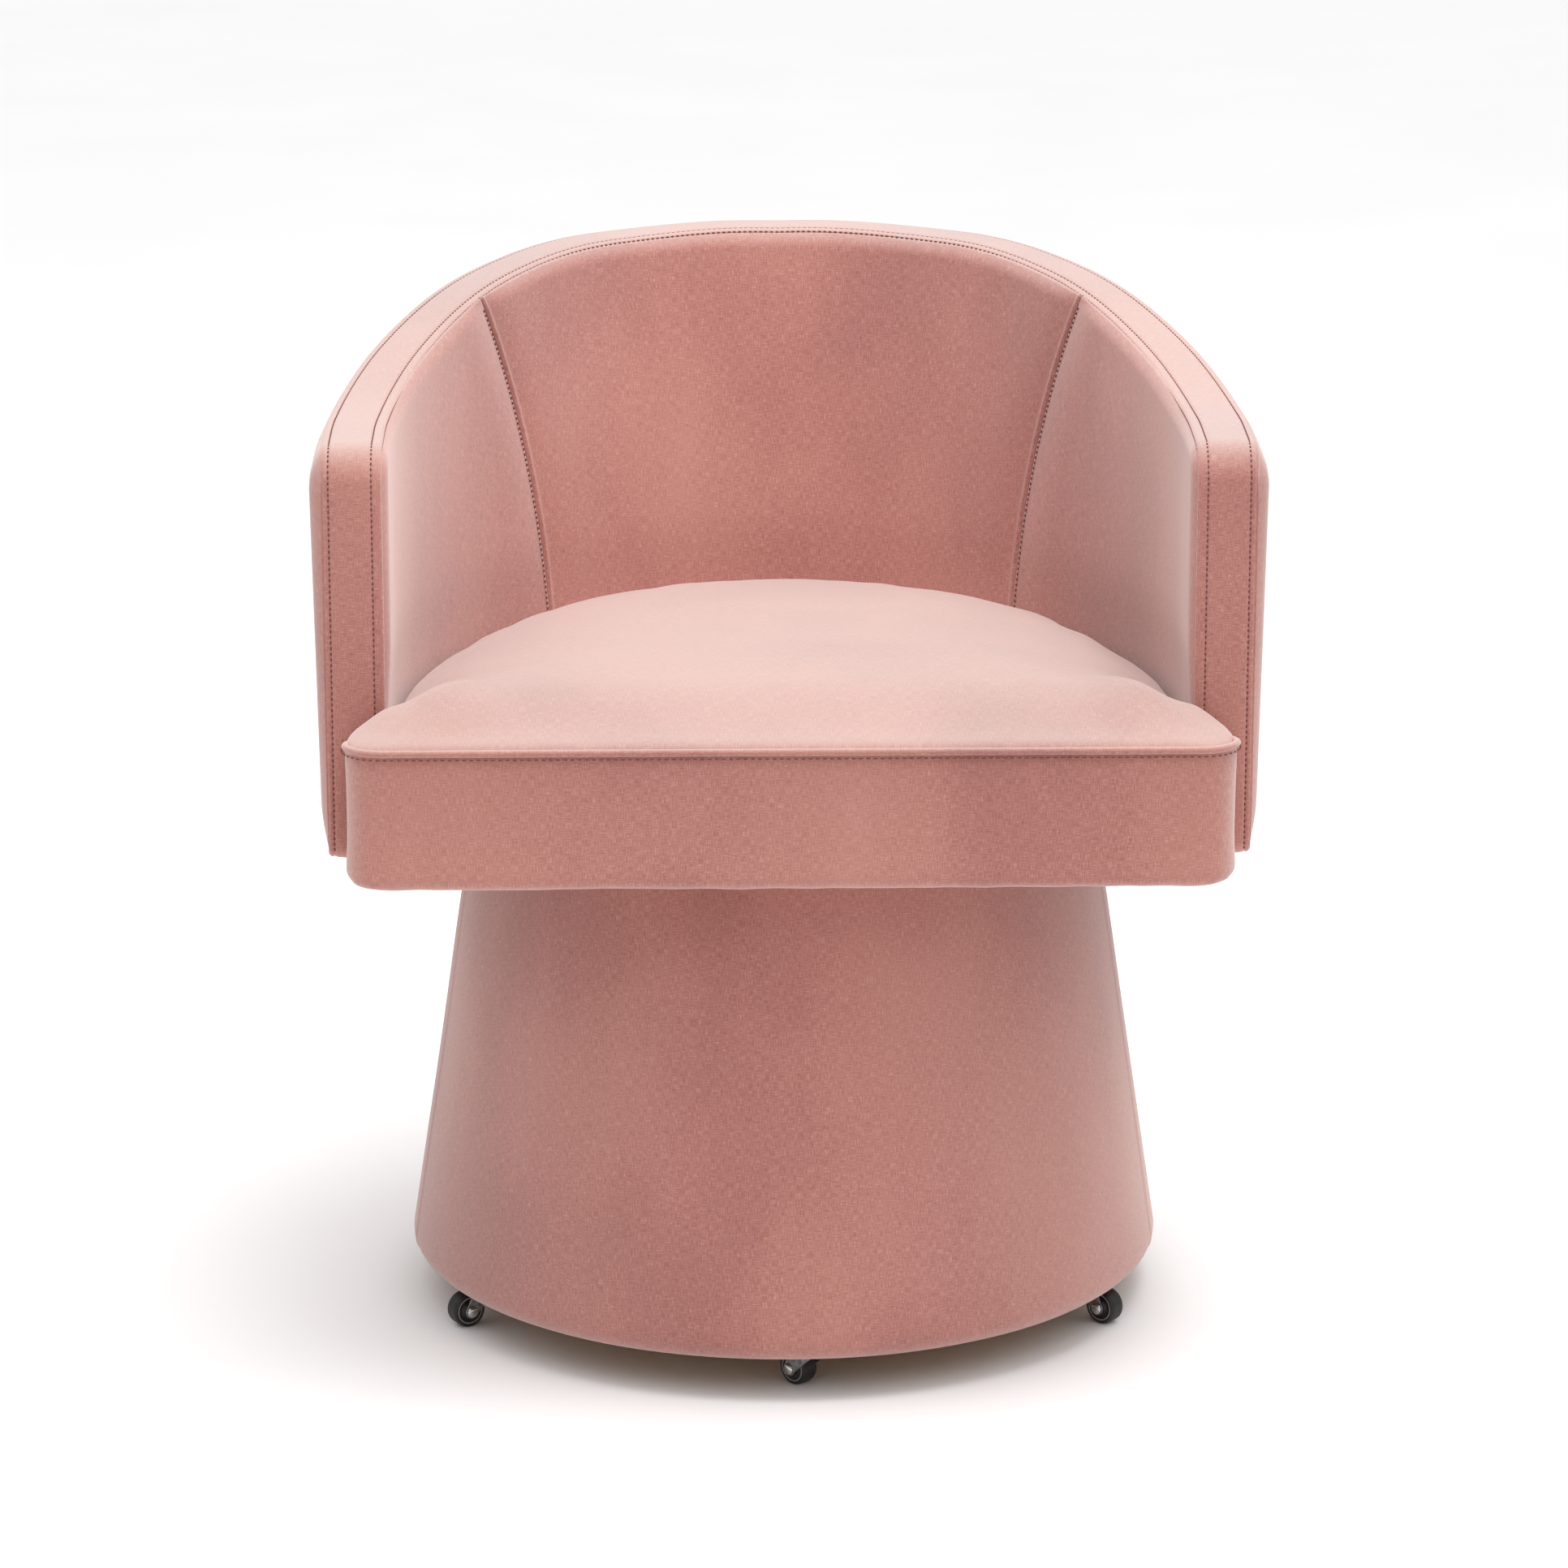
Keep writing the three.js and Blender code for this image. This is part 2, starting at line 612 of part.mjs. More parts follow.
function pedestalWall() {
  const outerInset = PEDESTAL_COVER_THICKNESS + GAP;
  const innerInset = outerInset + PEDESTAL_WALL_THICKNESS;
  const bottom = CASTER_BOARD_BOTTOM + CASTER_BOARD_THICKNESS + 2 * GAP;
  const top = PEDESTAL_TOP - PEDESTAL_COVER_THICKNESS - GAP;
  return lathe([
    [coneRadius(bottom) - innerInset, bottom],
    [coneRadius(bottom) - outerInset, bottom],
    [coneRadius(top) - outerInset, top],
    [coneRadius(top) - innerInset, top],
    [coneRadius(bottom) - innerInset, bottom],
  ], PEDESTAL_SIDES);
}

// A round board lying flat
function disc(radius, bottom, thickness) {
  return post(radius, bottom, bottom + thickness, PEDESTAL_SIDES);
}

function buildPedestal() {
  const pedestal = new THREE.Group();
  const wallInset = PEDESTAL_COVER_THICKNESS + PEDESTAL_WALL_THICKNESS + 3 * GAP;
  const topBoardRadius = coneRadius(PEDESTAL_TOP) - wallInset;
  const topBoardBottom = LOWER_PLATE_BOTTOM - GAP - TOP_BOARD_THICKNESS;
  const topBoard = disc(topBoardRadius, topBoardBottom, TOP_BOARD_THICKNESS);
  const casterBoard = disc(CASTER_BOARD_RADIUS, CASTER_BOARD_BOTTOM, CASTER_BOARD_THICKNESS);
  const lowerPlateTop = LOWER_PLATE_BOTTOM + PLATE_THICKNESS;
  const lowerPlate = prism(square(PLATE_SIZE), LOWER_PLATE_BOTTOM, lowerPlateTop);
  const bearingRing = lathe([
    [BEARING_INNER_RADIUS, lowerPlateTop + GAP],
    [BEARING_OUTER_RADIUS, lowerPlateTop + GAP],
    [BEARING_OUTER_RADIUS, UPPER_PLATE_BOTTOM - GAP],
    [BEARING_INNER_RADIUS, UPPER_PLATE_BOTTOM - GAP],
    [BEARING_INNER_RADIUS, lowerPlateTop + GAP],
  ], 32);
  pedestal.add(
    piece('pedestal_cover', pedestalCover(), MATERIALS.fabric),
    piece('pedestal_wall', pedestalWall(), MATERIALS.plywood),
    piece('pedestal_top_board', topBoard, MATERIALS.plywood),
    piece('caster_board', casterBoard, MATERIALS.plywood),
    piece('lower_swivel_plate', lowerPlate, MATERIALS.steel),
    piece('swivel_bearing_ring', bearingRing, MATERIALS.steel),
  );
  return pedestal;
}

// ---------------------------------------------------------------- casters

// Each caster is built with its pivot on the Z axis and its wheel trailing along +X

function casterPlate() {
  const plateTop = CASTER_PLATE_BOTTOM + CASTER_PLATE_THICKNESS;
  const plate = prism(square(CASTER_PLATE_SIZE), CASTER_PLATE_BOTTOM, plateTop);
  const raceway = post(RACEWAY_RADIUS, FORK_TOP + GAP, CASTER_PLATE_BOTTOM + 1);
  return cut(join(plate, raceway), post(KINGPIN_RADIUS + GAP, FORK_TOP - 1, plateTop + 1, 12));
}

function kingpin() {
  const shoulder = FORK_TOP - FORK_THICKNESS - GAP;
  const plateTop = CASTER_PLATE_BOTTOM + CASTER_PLATE_THICKNESS;
  return lathe([
    [0, shoulder - 2.6],
    [KINGPIN_HEAD_RADIUS - 1.5, shoulder - 2.6],
    [KINGPIN_HEAD_RADIUS, shoulder - 1.2],
    [KINGPIN_HEAD_RADIUS, shoulder],
    [KINGPIN_RADIUS, shoulder],
    [KINGPIN_RADIUS, plateTop],
    [0, plateTop],
  ], 12);
}

// One side of the fork, drawn in the trail's plane: wide under the bridge, narrowing
// down to the boss around the axle
function forkLeg(side) {
  const boss = arc(TRAIL, WHEEL_RADIUS, 5.2, 20, -160, 6);
  const outline = [[-6, FORK_TOP], [-6, FORK_TOP - 5], ...boss.slice().reverse(), [12, FORK_TOP]];
  const plate = prism(outline, 0, FORK_THICKNESS).rotateX(Math.PI / 2);
  return plate.translate(0, side > 0 ? FORK_HALF_WIDTH : FORK_THICKNESS - FORK_HALF_WIDTH, 0);
}

function fork() {
  const half = FORK_HALF_WIDTH;
  const outline = [[-10, -5], [-6, -half], [10, -half], [10, half], [-6, half], [-10, 5]];
  const bridge = prism(outline, FORK_TOP - FORK_THICKNESS, FORK_TOP);
  const pivotHole = post(KINGPIN_RADIUS + GAP, FORK_TOP - 3, FORK_TOP + 1, 12);
  const axleHole = post(AXLE_RADIUS + GAP, -12, 12, 12).rotateX(Math.PI / 2);
  axleHole.translate(TRAIL, 0, WHEEL_RADIUS);
  return cut(join(bridge, forkLeg(-1), forkLeg(1)), pivotHole, axleHole);
}

// Turns a profile around the wheel's axle, which lies along Y
function aroundAxle(profile, sides, phase = 0) {
  return lathe(profile, sides).rotateZ(phase).rotateX(Math.PI / 2).translate(TRAIL, 0, WHEEL_RADIUS);
}

function axle() {
  const seat = FORK_HALF_WIDTH + GAP;
  return aroundAxle([
    [0, -seat - 1.6],
    [AXLE_HEAD_RADIUS * 0.6, -seat - 1.4],
    [AXLE_HEAD_RADIUS, -seat],
    [AXLE_RADIUS, -seat],
    [AXLE_RADIUS, seat],
    [AXLE_HEAD_RADIUS, seat],
    [AXLE_HEAD_RADIUS * 0.6, seat + 1.4],
    [0, seat + 1.6],
  ], 14);
}

function wheelHub() {
  const half = WHEEL_WIDTH / 2;
  return aroundAxle([
    [AXLE_RADIUS + GAP, -half],
    [4, -half],
    [4.8, 1.8 - half],
    [HUB_RADIUS - 1.4, 1.8 - half],
    [HUB_RADIUS, 0.4 - half],
    [HUB_RADIUS, half - 0.4],
    [HUB_RADIUS - 1.4, half - 1.8],
    [4.8, half - 1.8],
    [4, half],
    [AXLE_RADIUS + GAP, half],
    [AXLE_RADIUS + GAP, -half],
  ], 16);
}

// The tread's flats touch the floor, so the corners lie a little outside its radius
function tyre() {
  const half = WHEEL_WIDTH / 2;
  const tread = WHEEL_RADIUS / Math.cos(Math.PI / TYRE_SIDES);
  const seat = HUB_RADIUS + GAP;
  return aroundAxle([
    [seat, -half],
    [tread - 1.6, -half],
    [tread, 1.6 - half],
    [tread, half - 1.6],
    [tread - 1.6, half],
    [seat, half],
    [seat, -half],
  ], TYRE_SIDES, Math.PI / TYRE_SIDES);
}

function buildCaster(number, azimuth, heading) {
  const caster = new THREE.Group();
  const fixed = new THREE.Group();
  const swivel = new THREE.Group();
  fixed.add(
    piece(`caster_${number}_plate`, casterPlate(), MATERIALS.steel),
    piece(`caster_${number}_kingpin`, kingpin(), MATERIALS.steel),
  );
  fixed.rotation.z = radians(azimuth - 90);
  swivel.add(
    piece(`caster_${number}_fork`, fork(), MATERIALS.steel),
    piece(`caster_${number}_axle`, axle(), MATERIALS.bright),
    piece(`caster_${number}_hub`, wheelHub(), MATERIALS.hub),
    piece(`caster_${number}_tyre`, tyre(), MATERIALS.tyre),
  );
  swivel.rotation.z = radians(heading);
  const angle = radians(azimuth);
  caster.position.set(PIVOT_RADIUS * Math.sin(angle), -PIVOT_RADIUS * Math.cos(angle), 0);
  caster.add(fixed, swivel);
  return caster;
}

// ---------------------------------------------------------------- assembly

const chair = new THREE.Group();
chair.name = 'barrel_rolling_chair';
chair.add(buildPedestal(), buildSeat());
CASTER_PLACES.forEach(({ azimuth, heading }, index) => {
  chair.add(buildCaster(index + 1, azimuth, heading));
});

export default chair;
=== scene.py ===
"""Looks of the barrel-back rolling chair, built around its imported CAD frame."""

import json
import logging
import math
from bisect import bisect_right
from collections.abc import Callable, Iterable, Sequence
from dataclasses import dataclass, field
from enum import Enum
from itertools import pairwise

import bmesh
import bpy
from mathutils import Matrix, Vector, noise


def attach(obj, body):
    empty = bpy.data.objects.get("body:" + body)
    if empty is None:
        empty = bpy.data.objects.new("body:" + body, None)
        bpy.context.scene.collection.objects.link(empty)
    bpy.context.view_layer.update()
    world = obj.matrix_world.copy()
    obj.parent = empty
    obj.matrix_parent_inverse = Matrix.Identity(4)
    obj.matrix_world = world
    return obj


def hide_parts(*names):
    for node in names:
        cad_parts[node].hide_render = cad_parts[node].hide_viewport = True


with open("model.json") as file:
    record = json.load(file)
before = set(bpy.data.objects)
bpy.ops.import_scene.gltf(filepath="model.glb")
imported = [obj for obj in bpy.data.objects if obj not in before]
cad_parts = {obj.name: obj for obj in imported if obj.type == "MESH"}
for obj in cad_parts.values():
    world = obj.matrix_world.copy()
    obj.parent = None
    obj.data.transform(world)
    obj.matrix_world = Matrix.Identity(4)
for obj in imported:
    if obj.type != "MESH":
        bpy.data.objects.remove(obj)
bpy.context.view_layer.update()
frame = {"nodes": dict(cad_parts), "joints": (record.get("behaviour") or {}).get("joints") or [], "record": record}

LOG = logging.getLogger("chair")
MM = 0.001
MERGE = 1e-6

Colour = tuple[float, float, float, float]
Surface = Callable[[float, float], Vector]


class Slot(Enum):
    """The record's material slots, passed along with new pieces."""

    UPHOLSTERY = "upholstery"
    STEEL = "caster_steel"
    BRIGHT = "bright_steel"
    PLASTIC = "wheel_plastic"
    RUBBER = "tyre_rubber"


# ------------------------------------------------------------------ small sums


def mix(start: float, end: float, share: float) -> float:
    """The value a share of the way from start to end."""
    return start + (end - start) * share


def clamp(value: float, low: float = 0.0, high: float = 1.0) -> float:
    """The value, kept between low and high."""
    return max(low, min(high, value))


def smooth(share: float) -> float:
    """An S-curve from 0 to 1."""
    share = clamp(share)
    return share * share * (3 - 2 * share)


def steps(count: int, start: float = 0.0, end: float = 1.0) -> list[float]:
    """Evenly spaced values from start to end, both included."""
    return [mix(start, end, index / count) for index in range(count + 1)]


def roll(distance: float, radius: float) -> float:
    """How far cloth has risen out of a seam: 0 at the seam, 1 past the radius."""
    return 1 - (1 - clamp(distance / radius)) ** 2


def ridge(distance: float, centre: float, width: float) -> float:
    """A rounded ridge of height 1 around a centre, zero outside its width."""
    reach = abs(distance - centre) / (width / 2)
    return 0.0 if reach >= 1 else 0.5 + 0.5 * math.cos(math.pi * reach)


def rgb(red: int, green: int, blue: int) -> Colour:
    """A display colour from 0 to 255 a channel, as scene-linear RGBA.

    Args:
        red: 0 to 255.
        green: 0 to 255.
        blue: 0 to 255.

    Returns:
        The colour in linear light.
    """
    def linear(value: int) -> float:
        """One channel without its display curve."""
        share = value / 255
        return share / 12.92 if share <= 0.04045 else ((share + 0.055) / 1.055) ** 2.4

    return (linear(red), linear(green), linear(blue), 1.0)


# ------------------------------------------------------------------ shader writing


class Wire:
    """A shader socket that adds Math nodes when it is used in an expression."""

    def __init__(self, finish: "Finish", socket: bpy.types.NodeSocket) -> None:
        """Wraps a socket of a finish."""
        self.finish = finish
        self.socket = socket

    def __add__(self, other: "Wire | float") -> "Wire":
        """The sum."""
        return self.finish.math("ADD", self, other)

    def __sub__(self, other: "Wire | float") -> "Wire":
        """The difference."""
        return self.finish.math("SUBTRACT", self, other)

    def __rsub__(self, other: float) -> "Wire":
        """A number less this."""
        return self.finish.math("SUBTRACT", other, self)

    def __mul__(self, other: "Wire | float") -> "Wire":
        """The product."""
        return self.finish.math("MULTIPLY", self, other)

    __radd__ = __add__
    __rmul__ = __mul__


class Finish:
    """A node material under construction, ending in one Principled shader."""

    def __init__(self, name: str) -> None:
        """Starts a material.

        Args:
            name: the material's name.
        """
        self.material = bpy.data.materials.new(name)
        self.material.use_nodes = True
        self.tree = self.material.node_tree
        self.shader = self.tree.nodes["Principled BSDF"]

    def node(self, kind: str, settings: dict | None = None,
             sockets: dict | None = None) -> bpy.types.Node:
        """Makes one node.

        Args:
            kind: the node's type.
            settings: its own settings, set first; "stops" fills a colour ramp.
            sockets: values or wires for its inputs, by name or number.

        Returns:
            The new node.
        """
        made = self.tree.nodes.new(kind)
        for name, value in (settings or {}).items():
            if name == "stops":
                self._fill_ramp(made.color_ramp, value)
            else:
                setattr(made, name, value)
        for key, value in (sockets or {}).items():
            self.feed(made.inputs[key], value)
        return made

    def feed(self, socket: bpy.types.NodeSocket, value: "Wire | float | Sequence") -> None:
        """Gives a socket a wire or a plain value.

        Args:
            socket: the input to fill.
            value: a wire to link, or a number or colour to set.
        """
        if isinstance(value, Wire):
            self.tree.links.new(value.socket, socket)
        else:
            socket.default_value = value

    @staticmethod
    def _fill_ramp(ramp: bpy.types.ColorRamp, stops: Sequence[tuple[float, Colour]]) -> None:
        """Sets a ramp's stops.

        Args:
            ramp: the colour ramp.
            stops: position and colour of each stop.
        """
        while len(ramp.elements) < len(stops):
            ramp.elements.new(0.5)
        for element, (position, colour) in zip(ramp.elements, stops):
            element.position = position
            element.color = colour

    def math(self, operation: str, first: "Wire | float", second: "Wire | float" = 0.0) -> Wire:
        """One Math node on numbers or wires."""
        made = self.node("ShaderNodeMath", {"operation": operation}, {0: first, 1: second})
        return Wire(self, made.outputs[0])

    def scaled(self, vector: Wire, factors: Sequence[float]) -> Wire:
        """A vector times a number for each axis.

        Args:
            vector: the vector.
            factors: a number for each axis.

        Returns:
            The stretched vector.
        """
        made = self.node("ShaderNodeVectorMath", {"operation": "MULTIPLY"},
                         {0: vector, 1: tuple(factors)})
        return Wire(self, made.outputs[0])

    def noise(self, vector: Wire, scale: float, detail: float = 2.0,
              roughness: float = 0.5) -> Wire:
        """Soft noise around 0.5.

        Args:
            vector: where to look the noise up.
            scale: lumps for each unit of the vector.
            detail: finer layers on top.
            roughness: strength of the finer layers.

        Returns:
            The noise, mostly from 0.3 to 0.7.
        """
        made = self.node("ShaderNodeTexNoise", sockets={
            "Vector": vector, "Scale": scale, "Detail": detail, "Roughness": roughness})
        return Wire(self, made.outputs["Fac"])

    def blended(self, share: "Wire | float", first: "Wire | Colour",
                second: "Wire | Colour", how: str = "MIX") -> Wire:
        """Two colours mixed.

        Args:
            share: how much of the second colour.
            first: the first colour.
            second: the second colour.
            how: the blend type.

        Returns:
            The mixed colour.
        """
        made = self.node("ShaderNodeMix", {"data_type": "RGBA", "blend_type": how},
                         {0: share, 6: first, 7: second})
        return Wire(self, made.outputs[2])

    def ramp(self, share: Wire, stops: Sequence[tuple[float, Colour]]) -> Wire:
        """A colour looked up along stops."""
        made = self.node("ShaderNodeValToRGB", {"stops": stops}, {"Fac": share})
        return Wire(self, made.outputs["Color"])

    def place(self) -> Wire:
        """Where the shaded point is on the object, in metres."""
        return Wire(self, self.node("ShaderNodeTexCoord").outputs["Object"])

    def upward(self) -> Wire:
        """How far the surface faces up, from -1 to 1."""
        facing = Wire(self, self.node("ShaderNodeNewGeometry").outputs["Normal"])
        return Wire(self, self.node("ShaderNodeSeparateXYZ", sockets={0: facing}).outputs["Z"])

    def cloth_place(self) -> Wire:
        """Where the shaded point is on the laid cloth, in metres."""
        made = self.node("ShaderNodeUVMap", {"uv_map": "cloth"})
        return Wire(self, made.outputs["UV"])

    def relief(self, height: Wire, strength: float, depth: float) -> None:
        """Bumps the surface by a height.

        Args:
            height: the height, in any unit.
            strength: share of the bump that shows.
            depth: metres for a height of 1.
        """
        made = self.node("ShaderNodeBump", sockets={
            "Strength": strength, "Distance": depth, "Height": height})
        self.feed(self.shader.inputs["Normal"], Wire(self, made.outputs["Normal"]))

    def shade(self, **values: "Wire | float | Sequence") -> bpy.types.Material:
        """Sets the Principled shader's sockets, with _ for a space in a name.

        Args:
            **values: a value or wire for each socket.

        Returns:
            The finished material.
        """
        for name, value in values.items():
            self.feed(self.shader.inputs[name.replace("_", " ")], value)
        return self.material


@dataclass(frozen=True)
class Cloth:
    """A heathered short-pile cloth: crossing dyed threads under a soft, brushed nap."""

    deep: Colour = rgb(128, 68, 60)
    base: Colour = rgb(168, 103, 92)
    pale: Colour = rgb(206, 158, 146)
    # Painted top light: the next two fields mix a pale grey into upward faces so that tops look lit from above.
    top_light_tint: Colour = rgb(184, 182, 176)
    top_light_share: float = 0.4
    thread: float = 0.5 * MM
    slub: float = 6 * MM
    sheen: float = 0.6
    sheen_spread: float = 0.65
    brushed_per_metre: float = 6.0
    rubbed_per_metre: float = 26.0
    weave_depth: float = 0.35 * MM
    warp_share: float = 0.42
    weft_share: float = 0.38
    speck_share: float = 0.2

    def make(self, name: str) -> bpy.types.Material:
        """The material, reading the piece's own cloth map.

        Args:
            name: the material's name.

        Returns:
            The cloth material.
        """
        finish = Finish(name)
        lay = finish.cloth_place()
        across, along = 1 / self.thread, 1 / self.slub
        warp = finish.noise(finish.scaled(lay, (across, along, 1)), 1.0)
        weft = finish.noise(finish.scaled(lay, (along, across, 1)), 1.0)
        speck = finish.noise(finish.scaled(lay, (across, across, 1)), 0.9, 1.0)
        heather = warp * self.warp_share + weft * self.weft_share + speck * self.speck_share
        threads = finish.ramp(heather, [(0.3, self.deep), (0.5, self.base), (0.73, self.pale)])
        where = finish.place()
        brushed = finish.noise(finish.scaled(where, (1, 1, 0.6)), self.brushed_per_metre,
                               1.0, 0.5)
        rubbed = finish.noise(finish.scaled(where, (1, 1, 0.45)), self.rubbed_per_metre,
                              3.0, 0.6)
        cloud = brushed * 0.75 + rubbed * 0.25
        nap = finish.ramp(cloud, [(0.36, rgb(238, 232, 235)), (0.52, rgb(255, 255, 255)),
                                  (0.66, rgb(255, 248, 244))])
        colour = finish.blended(1.0, threads, nap, "MULTIPLY")
        pale_nap = finish.math("MAXIMUM", (cloud - 0.49) * 1.0, 0.0)
        colour = finish.blended(pale_nap, colour, self.pale)
        # Painted top light: upward faces are lightened towards a pale grey, standing in for overhead light and
        # sheen on the tops.
        facing_up = finish.math("MAXIMUM", finish.upward(), 0.0)
        painted_top_light = facing_up * facing_up * self.top_light_share
        colour = finish.blended(painted_top_light, colour, self.top_light_tint)
        finish.relief(warp * 0.5 + weft * 0.5 + rubbed * 0.5, 0.3, self.weave_depth)
        return finish.shade(
            Base_Color=colour, Roughness=0.86 + 0.1 * cloud, Sheen_Weight=self.sheen,
            Sheen_Roughness=self.sheen_spread, Sheen_Tint=rgb(255, 249, 246),
            Specular_IOR_Level=0.1)


@dataclass(frozen=True)
class Thread:
    """Twisted sewing thread, a shade darker than the cloth."""

    light: Colour = rgb(134, 70, 66)
    dark: Colour = rgb(84, 38, 38)
    plies_per_metre: float = 2400.0

    def make(self, name: str) -> bpy.types.Material:
        """The material.

        Args:
            name: the material's name.

        Returns:
            The thread material.
        """
        finish = Finish(name)
        ply = finish.noise(finish.place(), self.plies_per_metre, 1.0)
        colour = finish.ramp(ply, [(0.35, self.dark), (0.65, self.light)])
        finish.relief(ply, 0.5, 0.2 * MM)
        return finish.shade(Base_Color=colour, Roughness=0.6 + 0.25 * ply)


@dataclass(frozen=True)
class Metal:
    """A steel surface with faint rolling marks."""

    light: Colour
    dark: Colour
    gloss: float
    spread: float = 0.18
    smears_per_metre: float = 260.0

    def make(self, name: str) -> bpy.types.Material:
        """The material.

        Args:
            name: the material's name.

        Returns:
            The steel material.
        """
        finish = Finish(name)
        where = finish.place()
        smear = finish.noise(where, self.smears_per_metre, 3.0, 0.6)
        scratch = finish.noise(finish.scaled(where, (900, 900, 90)), 1.0, 2.0)
        colour = finish.ramp(smear, [(0.35, self.dark), (0.65, self.light)])
        finish.relief(scratch, 0.12, 0.1 * MM)
        return finish.shade(Base_Color=colour, Metallic=1.0,
                            Roughness=self.gloss + self.spread * smear)


@dataclass(frozen=True)
class Moulded:
    """Moulded plastic or rubber with a fine grain and a little dust."""

    body: Colour
    dust: Colour
    roughness: float
    grain_per_metre: float = 1600.0
    dust_per_metre: float = 210.0

    def make(self, name: str) -> bpy.types.Material:
        """The material.

        Args:
            name: the material's name.

        Returns:
            The moulding material.
        """
        finish = Finish(name)
        where = finish.place()
        grain = finish.noise(where, self.grain_per_metre, 2.0)
        dust = finish.noise(where, self.dust_per_metre, 4.0, 0.62)
        share = finish.math("MAXIMUM", (dust - 0.48) * 1.4, 0.0)
        finish.relief(grain, 0.25, 0.12 * MM)
        return finish.shade(Base_Color=finish.blended(share, self.body, self.dust),
                            Roughness=self.roughness + 0.3 * share)


@dataclass(frozen=True)
class Plywood:
    """Raw sanded plywood with long grain."""

    early: Colour = rgb(214, 184, 142)
    late: Colour = rgb(172, 130, 88)

    def make(self, name: str) -> bpy.types.Material:
        """The material.

        Args:
            name: the material's name.

        Returns:
            The plywood material.
        """
        finish = Finish(name)
        where = finish.place()
        grain = finish.noise(finish.scaled(where, (160, 9, 160)), 1.0, 4.0, 0.6)
        plies = finish.math("SINE", finish.noise(where, 3.0) * 2.0
                            + finish.noise(finish.scaled(where, (1, 1, 420)), 1.0) * 6.0)
        share = grain * 0.8 + plies * 0.12
        finish.relief(grain, 0.2, 0.3 * MM)
        return finish.shade(
            Base_Color=finish.ramp(share, [(0.3, self.late), (0.62, self.early)]),
            Roughness=0.62 + 0.2 * grain)


@dataclass(frozen=True)
class Lining:
    """Black non-woven dust cover with its pressed fibres."""

    fibre: Colour = rgb(58, 56, 56)
    ground: Colour = rgb(26, 25, 25)
    fibres_per_metre: float = 900.0

    def make(self, name: str) -> bpy.types.Material:
        """The material.

        Args:
            name: the material's name.

        Returns:
            The lining material.
        """
        finish = Finish(name)
        fibres = finish.noise(finish.place(), self.fibres_per_metre, 4.0, 0.7)
        finish.relief(fibres, 0.5, 0.3 * MM)
        return finish.shade(
            Base_Color=finish.ramp(fibres, [(0.4, self.ground), (0.62, self.fibre)]),
            Roughness=0.8 + 0.15 * fibres)


@dataclass
class Finishes:
    """Every finish of the chair, made once."""

    cloth: bpy.types.Material = field(init=False)
    thread: bpy.types.Material = field(init=False)
    steel: bpy.types.Material = field(init=False)
    plate: bpy.types.Material = field(init=False)
    bright: bpy.types.Material = field(init=False)
    liner: bpy.types.Material = field(init=False)
    hub: bpy.types.Material = field(init=False)
    tyre: bpy.types.Material = field(init=False)
    plywood: bpy.types.Material = field(init=False)
    lining: bpy.types.Material = field(init=False)

    def __post_init__(self) -> None:
        """Makes the materials."""
        self.cloth = Cloth().make("pink_cloth")
        self.thread = Thread().make("sewing_thread")
        self.steel = Metal(rgb(170, 172, 172), rgb(120, 122, 123), 0.34).make("caster_steel")
        self.plate = Metal(rgb(176, 178, 176), rgb(128, 130, 128), 0.34).make("plate_steel")
        self.bright = Metal(rgb(226, 228, 228), rgb(196, 198, 200), 0.12, 0.1).make("bright_steel")
        self.liner = Moulded(rgb(150, 150, 150), rgb(190, 188, 186), 0.45).make("wheel_liner")
        self.hub = Moulded(rgb(42, 32, 33), rgb(92, 82, 80), 0.42).make("wheel_centre")
        self.tyre = Moulded(rgb(20, 19, 19), rgb(70, 66, 64), 0.5).make("tyre_rubber")
        self.plywood = Plywood().make("raw_plywood")
        self.lining = Lining().make("dust_lining")

    def dress_frame(self) -> None:
        """Gives the CAD nodes that stay in view their finishes."""
        by_slot = {"upholstery": self.cloth, "lining": self.lining, "plywood": self.plywood,
                   "plate_steel": self.plate, "caster_steel": self.steel,
                   "bright_steel": self.bright, "wheel_plastic": self.hub,
                   "tyre_rubber": self.tyre}
        for part in frame["record"]["subparts"]:
            node = frame["nodes"][part["node"]]
            node.data.materials.clear()
            node.data.materials.append(by_slot[part["material_slot"]])


# ------------------------------------------------------------------ mesh helpers


def lengths(points: Sequence[Vector]) -> list[float]:
    """Running length along a line of points.

    Args:
        points: the line.

    Returns:
        The length up to each point, starting at 0.
    """
    made = [0.0]
    for start, end in pairwise(points):
        made.append(made[-1] + (end - start).length)
    return made


def locate(run: Sequence[float], at: float) -> tuple[int, float]:
    """Finds a distance along a line.

    Args:
        run: the line's running length at each of its points.
        at: the distance to find.

    Returns:
        The number of the stretch that holds it, and how far along that stretch it is.
    """
    spot = min(bisect_right(run, at) - 1, len(run) - 2)
    return spot, (at - run[spot]) / max(1e-9, run[spot + 1] - run[spot])


